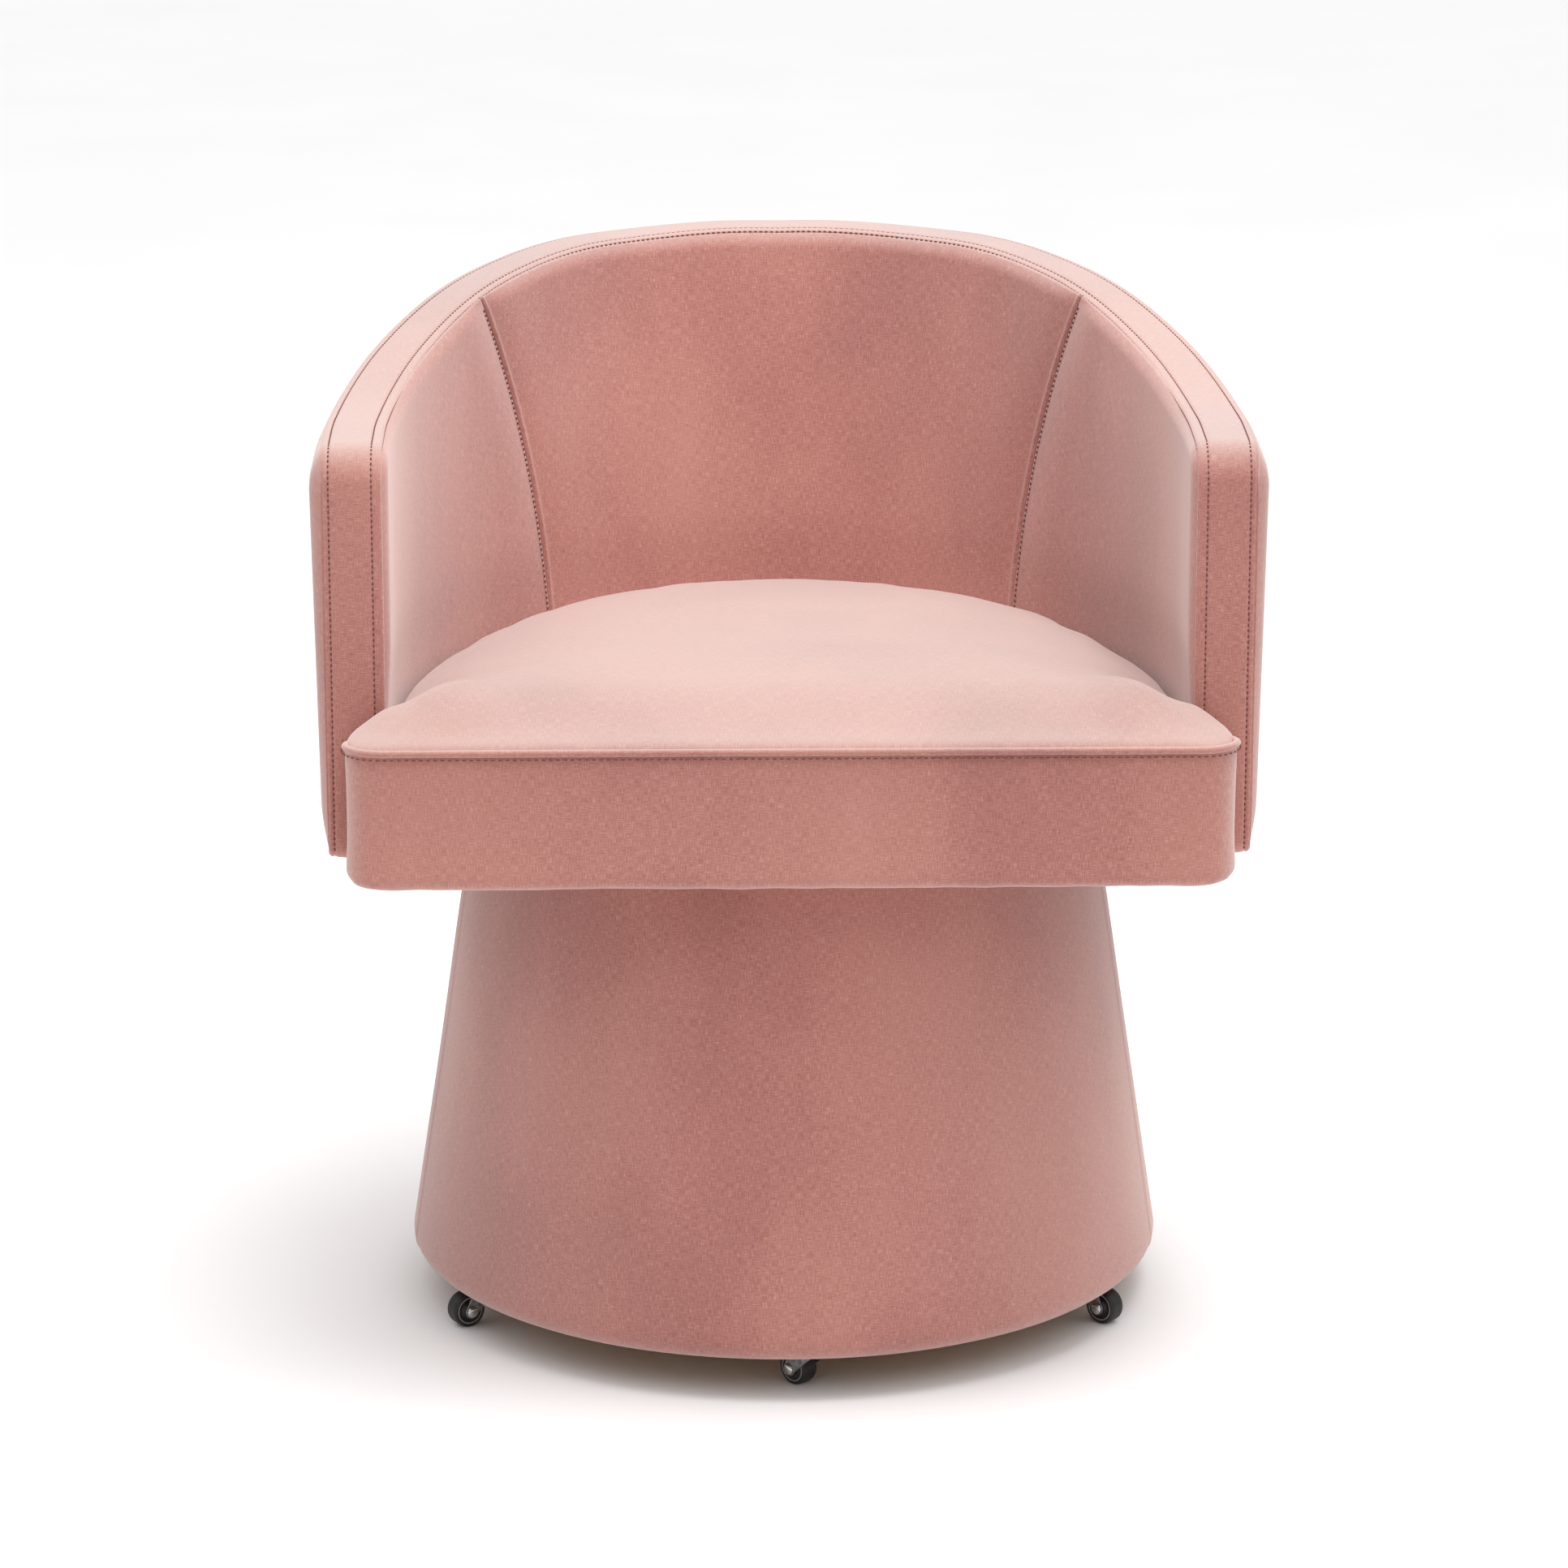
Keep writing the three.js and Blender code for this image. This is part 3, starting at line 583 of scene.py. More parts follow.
def laid_sheet(columns: Sequence[float], rows: Sequence[float], surface: Surface,
               flip: bool = False) -> bmesh.types.BMesh:
    """A sheet of cloth laid on a surface, with a cloth map in metres.

    Args:
        columns: values along the first direction.
        rows: values along the second direction.
        surface: gives the point for a column and a row.
        flip: turns the faces over.

    Returns:
        The sheet's mesh.
    """
    sheet = bmesh.new()
    last_column, last_row = len(columns) - 1, len(rows) - 1
    bmesh.ops.create_grid(sheet, x_segments=last_column, y_segments=last_row, size=0.5)
    points = [[surface(column, row) for row in rows] for column in columns]
    across = lengths([line[last_row // 2] for line in points])
    up = lengths(points[last_column // 2])
    cloth_map = sheet.loops.layers.uv.new("cloth")
    places = {}
    for vert in sheet.verts:
        column = round((vert.co.x + 0.5) * last_column)
        row = round((vert.co.y + 0.5) * last_row)
        places[vert] = (across[column], up[row])
        vert.co = points[column][row]
    for face in sheet.faces:
        face.smooth = True
        for loop in face.loops:
            loop[cloth_map].uv = places[loop.vert]
    if flip:
        bmesh.ops.reverse_faces(sheet, faces=sheet.faces)
    return sheet


def turned(profile: Sequence[tuple[float, float]], sides: int) -> bmesh.types.BMesh:
    """A solid turned around the Y axis from (radius, place along Y) points.

    Args:
        profile: the outline, closed or ending on the axis.
        sides: faces around the axis.

    Returns:
        The solid's mesh.
    """
    solid = bmesh.new()
    verts = [solid.verts.new((radius, along, 0)) for radius, along in profile]
    edges = [solid.edges.new(pair) for pair in pairwise(verts)]
    bmesh.ops.spin(solid, geom=verts + edges, cent=(0, 0, 0), axis=(0, 1, 0), dvec=(0, 0, 0),
                   angle=math.tau, steps=sides, use_merge=True)
    bmesh.ops.remove_doubles(solid, verts=solid.verts, dist=MERGE)
    bmesh.ops.recalc_face_normals(solid, faces=solid.faces)
    for face in solid.faces:
        face.smooth = True
    return solid


def turned_evenly(half: Sequence[tuple[float, float]], sides: int) -> bmesh.types.BMesh:
    """A ring turned around the Y axis, with its far side the same as its near side.

    Args:
        half: the near side's outline, as (radius, place along Y) points.
        sides: faces around the axis.

    Returns:
        The ring's mesh.
    """
    other = [(radius, -along) for radius, along in reversed(half)]
    return turned([*half, *other, half[0]], sides)


def finished(name: str, mesh: bmesh.types.BMesh, material: bpy.types.Material,
             body: str, slot: Slot, stands_for: Iterable[str] = ()) -> bpy.types.Object:
    """Turns a mesh into a piece that rides on a body.

    Args:
        name: the piece's name.
        mesh: its mesh, in the frame's own place.
        material: its finish.
        body: the CAD body that it rides on.
        slot: not used.
        stands_for: the CAD nodes that it replaces.

    Returns:
        The piece.
    """
    data = bpy.data.meshes.new(name)
    mesh.to_mesh(data)
    mesh.free()
    data.materials.append(material)
    piece = bpy.data.objects.new(name, data)
    bpy.context.scene.collection.objects.link(piece)
    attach(piece, body)
    if stands_for:
        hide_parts(*stands_for)
    LOG.info("%s: %d faces on %s", name, len(data.polygons), body)
    return piece


def thicken(piece: bpy.types.Object, thickness: float) -> bpy.types.Object:
    """Gives a sheet a wall on its inner side.

    Args:
        piece: the sheet.
        thickness: of the wall, in metres.

    Returns:
        The same piece.
    """
    wall = piece.modifiers.new("wall", "SOLIDIFY")
    wall.thickness = thickness
    wall.offset = -1
    return piece


@dataclass(frozen=True)
class Seam:
    """A run of separate stitches."""

    length: float = 2.8 * MM
    pitch: float = 4.0 * MM
    thickness: float = 1.3 * MM

    def sew(self, path: Sequence[tuple[Vector, Vector]]) -> bmesh.types.BMesh:
        """Sews along a line.

        Args:
            path: points on the cloth, each with the cloth's outward direction.

        Returns:
            The stitches' mesh.
        """
        run = bmesh.new()
        places = lengths([point for point, _ in path])
        for index in range(int(places[-1] / self.pitch)):
            spot, share = locate(places, (index + 0.5) * self.pitch)
            (start, out), (end, _) = path[spot], path[spot + 1]
            along = (end - start).normalized()
            side = out.cross(along).normalized()
            turn = Matrix((along, side, out)).transposed().to_4x4()
            size = Matrix.Diagonal((self.length / 2, self.thickness / 2,
                                    self.thickness / 2, 1))
            bmesh.ops.create_icosphere(
                run, subdivisions=1, radius=1,
                matrix=Matrix.Translation(start.lerp(end, share)) @ turn @ size)
        for face in run.faces:
            face.smooth = True
        return run


# ------------------------------------------------------------------ back and arms


@dataclass(frozen=True)
class BackPlan:
    """The U-shaped plan and the heights that the back's pieces share, as the frame has them."""

    curve_turn: float = 0.8
    power: float = 2.1
    bend_y: float = -160 * MM
    front_y: float = -219.6 * MM
    seam_half: float = 320 * MM
    seam_rear: float = 290 * MM
    inner_half: float = 279 * MM
    inner_rear: float = 247 * MM
    inner_foot_rear: float = 146 * MM
    outer_foot_rear: float = 247 * MM
    bottom: float = 386 * MM
    arm_top: float = 675 * MM
    back_top: float = 738.5 * MM
    slope_front: float = -120 * MM
    corner: float = 25 * MM
    foot_corner: float = 9 * MM
    unevenness: float = 1.2 * MM
    waves: float = 8
    steady: float = 90 * MM

    def point(self, turn: float, half: float, rear: float) -> Vector:
        """A point of a U of that half width and rear, from turn -1 at the left front to 1.

        Args:
            turn: place along the U.
            half: half its width.
            rear: how far back it reaches.

        Returns:
            The point, at height 0.
        """
        size, side = abs(turn), math.copysign(1, turn)
        if size > self.curve_turn:
            share = (size - self.curve_turn) / (1 - self.curve_turn)
            return Vector((side * half, mix(self.bend_y, self.front_y, share), 0))
        angle = size / self.curve_turn * math.pi / 2
        across = math.sin(angle) ** (2 / self.power)
        along = max(0.0, math.cos(angle)) ** (2 / self.power)
        return Vector((side * half * across, mix(self.bend_y, rear, along), 0))

    def turns(self, count: int, start: float = -1.0, end: float = 1.0) -> list[float]:
        """Turns spaced evenly along the outer seam between two turns.

        Args:
            count: number of steps.
            start: the first turn.
            end: the last turn.

        Returns:
            The turns, both ends included.
        """
        fine = steps(count * 12, start, end)
        run = lengths([self.point(turn, self.seam_half, self.seam_rear) for turn in fine])
        made = []
        for at in steps(count, 0, run[-1]):
            spot, share = locate(run, at)
            made.append(mix(fine[spot], fine[spot + 1], clamp(share)))
        return made

    def seam_y(self, turn: float) -> float:
        """How far back the band's outer seam is."""
        return self.point(turn, self.seam_half, self.seam_rear).y

    def seam_height(self, turn: float) -> float:
        """Height of the band's seams, level on the arms and rising to the back.

        Args:
            turn: place along the U.

        Returns:
            The height in metres.
        """
        y = self.seam_y(turn)
        share = (y - self.slope_front) / (self.seam_rear - self.slope_front)
        return mix(self.arm_top, self.back_top, smooth(share)) + self.wander(turn)

    def wander(self, turn: float) -> float:
        """How far the sewn edge wanders up or down, steady near the arm's front."""
        free = smooth(self.from_front(turn) / self.steady)
        return noise.noise(Vector((abs(turn) * self.waves, 0.4, 0))) * self.unevenness * free

    def edge_height(self, turn: float) -> float:
        """Height of the band's seams, rounded off down over the arm's front.

        Args:
            turn: place along the U.

        Returns:
            The height in metres.
        """
        y = self.seam_y(turn)
        past = clamp(self.front_y + self.corner - y, 0, self.corner)
        drop = self.corner - math.sqrt(self.corner**2 - past**2)
        return self.seam_height(turn) - drop

    def foot_height(self, turn: float) -> float:
        """Height of the lower edge, which rounds up towards the arm's front."""
        past = clamp(self.foot_corner - self.from_front(turn), 0, self.foot_corner)
        return self.bottom + self.foot_corner - math.sqrt(self.foot_corner**2 - past**2)

    def rear_inside(self, height: float) -> float:
        """Where the inner face is at the rear, at a height."""
        share = (height - self.bottom) / (self.back_top - self.bottom)
        return mix(self.inner_foot_rear, self.inner_rear, share)

    def from_front(self, turn: float) -> float:
        """Distance back from the arm's front face."""
        return self.seam_y(turn) - self.front_y


@dataclass(frozen=True)
class OuterCover:
    """The cloth over the outside of the back and arms, rolled in at every seam."""

    plan: BackPlan
    lower_bulge: float = 4.5 * MM
    upper_bulge: float = 9.9 * MM
    front_roll: float = 16 * MM
    foot_roll: float = 4 * MM
    turned_under: float = 15 * MM
    wall: float = 3.4 * MM

    def bulge(self, share: float) -> float:
        """How far the stuffed face stands out past its seams."""
        full = mix(self.lower_bulge, self.upper_bulge, share)
        return full * roll(share, 0.12) * roll(1 - share, 0.1)

    def surface(self, turn: float, row: float) -> Vector:
        """A point of the cover; rows below 0 are turned under the lower edge.

        Args:
            turn: place along the U.
            row: share of the height.

        Returns:
            The point.
        """
        plan = self.plan
        share = max(0.0, row)
        out = self.bulge(share) * roll(plan.from_front(turn), self.front_roll)
        foot = plan.foot_height(turn) + self.foot_roll
        height = mix(foot, plan.edge_height(turn), share)
        if row < 0:
            angle = min(1.0, -row * 2) * math.pi / 2
            out = -self.foot_roll * (1 - math.cos(angle))
            out -= max(0.0, -row * 2 - 1) * self.turned_under
            height = foot - self.foot_roll * math.sin(angle)
        rear = mix(plan.outer_foot_rear, plan.seam_rear, share)
        point = plan.point(turn, plan.seam_half + out, rear + out)
        point.z = height
        return point

    def build(self, finishes: Finishes) -> None:
        """Makes the piece.

        Args:
            finishes: the chair's finishes.
        """
        rows = [-1, -0.5, -0.4, -0.3, -0.2, -0.1, *steps(8, 0, 0.12), *steps(22, 0.15, 0.88),
                *steps(10, 0.9, 1)]
        turns = self.plan.turns(190)
        front = [turn for turn in self.plan.turns(1200) if abs(turn) > 0.955]
        columns = sorted({round(turn, 5) for turn in turns + front})
        mesh = laid_sheet(columns, rows, self.surface, flip=True)
        thicken(finished("outer_back_fabric", mesh, finishes.cloth, "seat",
                         Slot.UPHOLSTERY, ["outer_back_cover"]), self.wall)


@dataclass(frozen=True)
class InnerPanels:
    """The three padded panels inside the back and arms, and the seams between them."""

    plan: BackPlan
    foot: float = 406 * MM
    top_gap: float = 0.6 * MM
    puff: float = 4.2 * MM
    seam_depth: float = 1.0 * MM
    seam_roll: float = 34 * MM
    top_roll: float = 12 * MM
    free_height: float = 480 * MM
    free_rise: float = 60 * MM
    pressed: float = 0.35
    stitch_turn: float = 0.0035
    stitch_proud: float = 0.4 * MM
    stitched_from: float = 0.12
    stitched_to: float = 0.985
    seam_foot_turn: float = 0.32
    seam_top_turn: float = 0.45
    welt_height: float = 1.5 * MM
    welt_width: float = 5.0 * MM
    wall: float = 9 * MM

    def seam_turn(self, row: float) -> float:
        """Turn of the seam between the panels, which leans outwards as it rises."""
        return mix(self.seam_foot_turn, self.seam_top_turn, row**2)

    def base(self, turn: float, row: float) -> Vector:
        """The bare inner face.

        Args:
            turn: place along the U.
            row: share of the height.

        Returns:
            The point.
        """
        height = mix(self.foot, self.plan.edge_height(turn) - self.top_gap, row)
        point = self.plan.point(turn, self.plan.inner_half, self.plan.rear_inside(height))
        point.z = height
        return point

    def inward(self, turn: float, row: float) -> Vector:
        """Direction from the face into the sitting space.

        Args:
            turn: place along the U.
            row: share of the height.

        Returns:
            The unit direction.
        """
        step = 0.004
        low, high = max(0.0, row - step), min(1.0, row + step)
        left, right = max(-1.0, turn - step), min(1.0, turn + step)
        along = self.base(right, row) - self.base(left, row)
        up = self.base(turn, high) - self.base(turn, low)
        return up.cross(along).normalized() * -1

    def puffed(self, turn: float, row: float, to_seam: float, welt: float) -> Vector:
        """A point of the padded face.

        Args:
            turn: place along the plan.
            row: share of the height.
            to_seam: distance from the panel's nearest upright seam.
            welt: height of a raised edge beside that seam.

        Returns:
            The point.
        """
        base = self.base(turn, row)
        to_top = (1 - row) * (self.plan.edge_height(turn) - self.foot)
        rise = roll(to_seam, self.seam_roll) * roll(to_top, self.top_roll)
        rise *= roll(self.plan.from_front(turn), self.top_roll)
        free = mix(self.pressed, 1.0, smooth((base.z - self.free_height) / self.free_rise))
        out = -self.seam_depth + (self.seam_depth + self.puff * free) * rise
        out += welt * self.welt_height * ridge(to_seam, self.welt_width / 2, self.welt_width)
        return base + self.inward(turn, row) * out

    def centre(self, column: float, row: float) -> Vector:
        """A point of the centre panel, column -1 to 1.

        Args:
            column: place between the seams.
            row: share of the height.

        Returns:
            The point.
        """
        turn = column * self.seam_turn(row)
        side = math.copysign(self.seam_turn(row), column)
        to_seam = (self.base(turn, row) - self.base(side, row)).length
        return self.puffed(turn, row, to_seam, 1.0)

    def arm(self, side: int, column: float, row: float) -> Vector:
        """A point of an arm panel, column 0 at the upright seam to 1 at the arm's front.

        Args:
            side: -1 for the left arm, 1 for the right.
            column: place along the panel.
            row: share of the height.

        Returns:
            The point.
        """
        start = self.seam_turn(row)
        turn = side * mix(start, 1.0, column)
        to_seam = (self.base(turn, row) - self.base(side * start, row)).length
        return self.puffed(turn, row, to_seam, 0.0)

    def build(self, finishes: Finishes) -> None:
        """Makes the three panels and their stitches.

        Args:
            finishes: the chair's finishes.
        """
        rows = [*steps(60, 0, 0.9), *steps(16, 0.91, 1)]
        near = [0.0, 0.003, 0.006, 0.01, 0.015, 0.02, 0.027, 0.036, 0.05, 0.07]
        half = [*near, *steps(26, 0.1, 1)]
        centre = [*[share - 1 for share in half], *[1 - share for share in reversed(half[:-1])]]
        mesh = laid_sheet(centre, rows, self.centre)
        panel = finished("centre_back_panel", mesh, finishes.cloth, "seat",
                         Slot.UPHOLSTERY, ["back_pad"])
        thicken(panel, self.wall)
        columns = [*near, *steps(52, 0.09, 0.9), *[1 - share for share in reversed(near)]]
        for side, word in ((-1, "left"), (1, "right")):
            mesh = laid_sheet(columns, rows, lambda c, r, s=side: self.arm(s, c, r),
                              flip=side < 0)
            panel = finished(f"{word}_arm_panel", mesh, finishes.cloth, "seat",
                             Slot.UPHOLSTERY, [f"{word}_arm_pad"])
            thicken(panel, self.wall)
            self.stitch(side, word, finishes)

    def stitch(self, side: int, word: str, finishes: Finishes) -> None:
        """Sews one upright seam, just on the arm's side of it.

        Args:
            side: -1 for the left seam, 1 for the right.
            word: the side's name.
            finishes: the chair's finishes.
        """
        path = []
        for row in steps(90, self.stitched_from, self.stitched_to):
            turn = side * (self.seam_turn(row) + self.stitch_turn)
            out = self.inward(turn, row)
            path.append((self.base(turn, row) + out * self.stitch_proud, out))
        finished(f"{word}_panel_stitches", Seam().sew(path), finishes.thread, "seat",
                 Slot.UPHOLSTERY)


@dataclass(frozen=True)
class Station:
    """One place along the edge band: its two edges and its outward direction."""

    outer: Vector
    inner: Vector
    outward: Vector

    def at(self, across: float, height: float) -> Vector:
        """A point a distance across from the outer edge and a height above the edges."""
        line = self.inner - self.outer
        return self.outer + line * (across / line.length) + self.outward * height

    @property
    def span(self) -> float:
        """Width of the band here."""
        return (self.inner - self.outer).length

    def mirrored(self) -> "Station":
        """The same place on the other arm."""
        flip = Vector((-1, 1, 1))
        return Station(self.outer * flip, self.inner * flip, self.outward)


@dataclass(frozen=True)
class EdgeBand:
    """The strip that runs up one arm front, over the top edge and down the other arm."""

    plan: BackPlan
    front: float = -220 * MM
    crown: float = 1.5 * MM
    crease: float = 1.3 * MM
    outer_stitch: float = 4.4 * MM
    inner_stitch: float = 7.2 * MM
    stitch_pull: float = 0.9 * MM
    pull_width: float = 3.4 * MM
    crease_width: float = 2.2 * MM
    crown_reach: float = 16 * MM
    stitch_proud: float = 0.25 * MM
    seam_start: int = 56
    seam_emerges: int = 34
    seam_sunk: float = -2.0
    seam_shown: float = -0.7
    wall: float = 3.2 * MM

    def stations(self) -> list[Station]:
        """Every place along the band, from the right foot to the left foot.

        Returns:
            The stations in order.
        """
        plan = self.plan
        low, high = plan.bottom + plan.foot_corner, plan.arm_top - plan.corner
        right = [self.front_station(self.front + plan.foot_corner * (1 - math.cos(angle)),
                                    low + plan.foot_corner * math.sin(angle), angle)
                 for angle in steps(6, -math.pi / 2, 0)[:-1]]
        right += [self.front_station(self.front, height, 0) for height in steps(42, low, high)]
        for angle in steps(12, 0, math.pi / 2)[1:]:
            right.append(self.front_station(
                self.front + plan.corner * (1 - math.cos(angle)),
                high + plan.corner * math.sin(angle), angle))
        limit = self.front + plan.corner + 2 * MM
        for turn in plan.turns(110, 1, 0):
            outer = plan.point(turn, plan.seam_half, plan.seam_rear)
            inner = plan.point(turn, plan.inner_half, plan.inner_rear)
            outer.z = inner.z = plan.seam_height(turn)
            if outer.y > limit:
                right.append(Station(outer, inner, Vector((0, 0, 1))))
        return [*right, *[station.mirrored() for station in reversed(right[:-1])]]

    def front_station(self, y: float, height: float, angle: float) -> Station:
        """A place on the right arm's front or its top corner.

        Args:
            y: how far forward.
            height: its height.
            angle: turn of the face, 0 to the front and a quarter turn up.

        Returns:
            The station.
        """
        plan = self.plan
        return Station(Vector((plan.seam_half, y, height)), Vector((plan.inner_half, y, height)),
                       Vector((0, -math.cos(angle), math.sin(angle))))

    def rise(self, across: float, width: float) -> float:
        """Height of the band's face at a distance across it.

        Args:
            across: distance from the outer edge.
            width: the band's width there.

        Returns:
            The height above the two edges.
        """
        edge = min(across, width - across)
        out = self.crown * roll(edge, self.crown_reach)
        out -= self.crease * (1 - roll(edge, self.crease_width))
        out -= self.stitch_pull * ridge(across, self.outer_stitch, self.pull_width)
        out -= self.stitch_pull * ridge(width - across, self.inner_stitch, self.pull_width)
        return out

    def build(self, finishes: Finishes) -> None:
        """Makes the band and its stitches.

        Args:
            finishes: the chair's finishes.
        """
        stations = self.stations()
        width = stations[0].span
        edge = [0, 0.4, 0.9, 1.6, 2.4, 3.2, 3.8, 4.4, 5.0, 5.8, 6.8]
        other = [0, 0.4, 0.9, 1.6, 2.4, 3.6, 4.8, 5.6, 6.4, 7.2, 8.0, 8.8, 10]
        rows = [*[value * MM / width for value in edge], *steps(8, 0.25, 0.7),
                *[1 - value * MM / width for value in reversed(other)]]

        def surface(column: float, row: float) -> Vector:
            """A point of the band.

            Args:
                column: number of the station.
                row: share of the band's width.

            Returns:
                The point.
            """
            station = stations[round(column)]
            across = row * station.span
            return station.at(across, self.rise(across, station.span))

        columns = [float(index) for index in range(len(stations))]
        mesh = laid_sheet(columns, rows, surface)
        thicken(finished("edge_band_fabric", mesh, finishes.cloth, "seat",
                         Slot.UPHOLSTERY, ["edge_band"]), self.wall)
        self.topstitch(stations, finishes)
        self.stitch_seam(stations[self.seam_start:-self.seam_start], finishes)

    def topstitch(self, stations: Sequence[Station], finishes: Finishes) -> None:
        """Sews a row of stitches along each side of the band.

        Args:
            stations: places along the band.
            finishes: the chair's finishes.
        """
        for word, from_outer, inset in (("outer", True, self.outer_stitch),
                                        ("inner", False, self.inner_stitch)):
            path = []
            for station in stations[3:-3]:
                across = inset if from_outer else station.span - inset
                height = self.rise(across, station.span) + self.stitch_proud
                path.append((station.at(across, height), station.outward))
            finished(f"band_{word}_stitches", Seam().sew(path), finishes.thread, "seat",
                     Slot.UPHOLSTERY)

    def stitch_seam(self, stations: Sequence[Station], finishes: Finishes) -> None:
        """Sews the seam to the inner panels, which rises out of its crease over the arms.

        Args:
            stations: places along the seam.
            finishes: the chair's finishes.
        """
        path = []
        for index, station in enumerate(stations):
            shown = smooth(min(index, len(stations) - 1 - index) / self.seam_emerges)
            height = mix(self.seam_sunk, self.seam_shown, shown) * MM
            path.append((station.at(station.span - 0.2 * MM, height), station.outward))
        finished("back_seam_stitches", Seam().sew(path), finishes.thread, "seat",
                 Slot.UPHOLSTERY)


# ------------------------------------------------------------------ seat cushion


@dataclass(frozen=True)
class SeatCushion:
    """The T-shaped cushion: a crowned top sewn to an upright border."""

    plan: BackPlan
    front: float = -294 * MM
    half: float = 307 * MM
    wing_rear: float = -222.6 * MM
    neck: float = 274.5 * MM
    rear_gap: float = 5 * MM
    front_corner: float = 28 * MM
    rear_corner: float = 10 * MM
    bottom: float = 387 * MM
    front_drop: float = 6 * MM
    seam: float = 480 * MM
    crown: float = 505 * MM
    centre_y: float = -60 * MM
    voxel: float = 6 * MM
    frames: int = 20
    pressure: float = 4.0
    smoothings: int = 3
    welt: float = 2.5 * MM
    welt_fade: float = 0.11
    squeeze: float = 14 * MM
    squeeze_side: float = 85 * MM
    squeeze_reach: float = 135 * MM
    crown_travel: float = 12 * MM
    border_travel: float = 4.5 * MM
    pulls_per_metre: float = 42
    lumps_per_metre: float = 11
    shoulder: float = 16 * MM
    shoulder_rise: float = 3.4 * MM
    stitch_drop: float = 3.4 * MM
    stitches: Seam = Seam(3.5 * MM, 4.9 * MM, 1.3 * MM)

    def outline(self, inset: float = 0.0, count: int = 260) -> list[Vector]:
        """The plan's outline at even spacing, from the middle of the front to the right.

        Args:
            inset: how far inside the edge.
            count: number of points.

        Returns:
            The points of the closed outline.
        """
        front, half = self.front + inset, self.half - inset
        neck, wing = self.neck - inset, self.wing_rear - inset
        corner, rear = self.front_corner, self.rear_corner
        right = [Vector((x, front, 0)) for x in steps(30, 0, half - corner)]
        right += self._arc(half - corner, front + corner, corner, -90, 0)
        right += self._arc(half - rear, wing - rear, rear, 0, 90)
        right += [Vector((neck + 6 * MM, wing, 0)), Vector((neck + 1.5 * MM, wing + 1.5 * MM, 0)),
                  Vector((neck, wing + 6 * MM, 0))]
        rear_y = self.plan.rear_inside(self.seam) - self.rear_gap - inset
        right += [self.plan.point(turn, neck, rear_y) for turn in self.plan.turns(60, 0.93, 0)]
        left = [point * Vector((-1, 1, 1)) for point in reversed(right[1:-1])]
        loop = [*right, *left, right[0]]
        run = lengths(loop)
        made = []
        for at in steps(count, 0, run[-1])[:-1]:
            spot, share = locate(run, at)
            made.append(loop[spot].lerp(loop[spot + 1], share))
        return made

    @staticmethod
    def _arc(x: float, y: float, radius: float, start: float, end: float) -> list[Vector]:
        """Points on an arc between two angles in degrees."""
        return [Vector((x + radius * math.cos(angle), y + radius * math.sin(angle), 0))
                for angle in steps(8, math.radians(start), math.radians(end))]

    def blank(self) -> bmesh.types.BMesh:
        """The cushion before it is stuffed: rings bridged from the bottom to the crown.

        Returns:
            The blank's mesh.
        """
        solid = bmesh.new()
        side = [(self.bottom, 5 * MM, 1.0), (self.bottom + 2 * MM, 2 * MM, 1.0),
                (self.bottom + 7 * MM, 0.0, 1.0), (self.seam - 20 * MM, 0.0, 0.0)]
        loops = [self._ring(solid, height - self.front_drop * low, height, inset, inset, 1.0)
                 for height, inset, low in side]
        for angle in steps(5, 0.2, math.pi / 2):
            inset = self.shoulder * (1 - math.cos(angle))
            height = self.seam - self.shoulder * (1 - math.sin(angle))
            share = (angle - 0.2) / (math.pi / 2 - 0.2)
            loops.append(self._ring(
                solid, mix(self.seam - 12 * MM, self.seam + self.shoulder_rise, share),
                height, mix(0, 2.2, smooth(share)) * MM, inset, 1.0))
        for scale in (0.95, 0.89, 0.8, 0.68, 0.5, 0.3):
            height = mix(self.seam + self.shoulder_rise, self.crown, 1 - scale**2.3)
            loops.append(self._ring(solid, height, height, 3 * MM, self.shoulder, scale))
        for (_, lower), (_, upper) in pairwise(loops):
            bmesh.ops.bridge_loops(solid, edges=lower + upper)
        solid.faces.new(loops[0][0])
        solid.faces.new(loops[-1][0])
        bmesh.ops.recalc_face_normals(solid, faces=solid.faces)
        return solid

    def _ring(self, solid: bmesh.types.BMesh, front_height: float, rear_height: float,
              front_inset: float, rear_inset: float, scale: float) -> tuple[list, list]:
        """Adds one ring, with its own height and inset in front of the arms and behind.

        Args:
            solid: the mesh to add to.
            front_height: height in front of the arms.
            rear_height: height behind them.
            front_inset: inset in front of the arms.
            rear_inset: inset behind them.
            scale: size of the ring, 1 at the edge.

        Returns:
            The ring's vertices and edges.
        """
        ring = []
        for point, deep in zip(self.outline(front_inset), self.outline(rear_inset)):
            front = smooth((self.wing_rear + 12 * MM - point.y) / (14 * MM))
            spot = deep.lerp(point, front)
            if scale < 1:
                spot.x = clamp(spot.x, -self.neck, self.neck) * scale
                spot.y = mix(self.centre_y, spot.y, scale)
            spot.z = mix(rear_height, front_height, front)
            ring.append(solid.verts.new(spot))
        edges = [solid.edges.new((ring[i - 1], ring[i])) for i in range(len(ring))]
        return ring, edges

    def cap(self, point: Vector) -> float:
        """How far stuffing may push a point: nothing at the seam, most on the crown.

        Args:
            point: a point of the blank.

        Returns:
            The most that it may move, in metres.
        """
        if point.z > self.seam + 1 * MM:
            rim = min(self.half - abs(point.x), point.y - self.front)
            return mix(0.5 * MM, self.crown_travel, smooth(rim / (90 * MM)))
        to_edge = min(self.seam - point.z, point.z - self.bottom)
        front = smooth((self.wing_rear - point.y) / (20 * MM))
        return mix(0.3 * MM, self.border_travel, roll(to_edge, 30 * MM) * front)

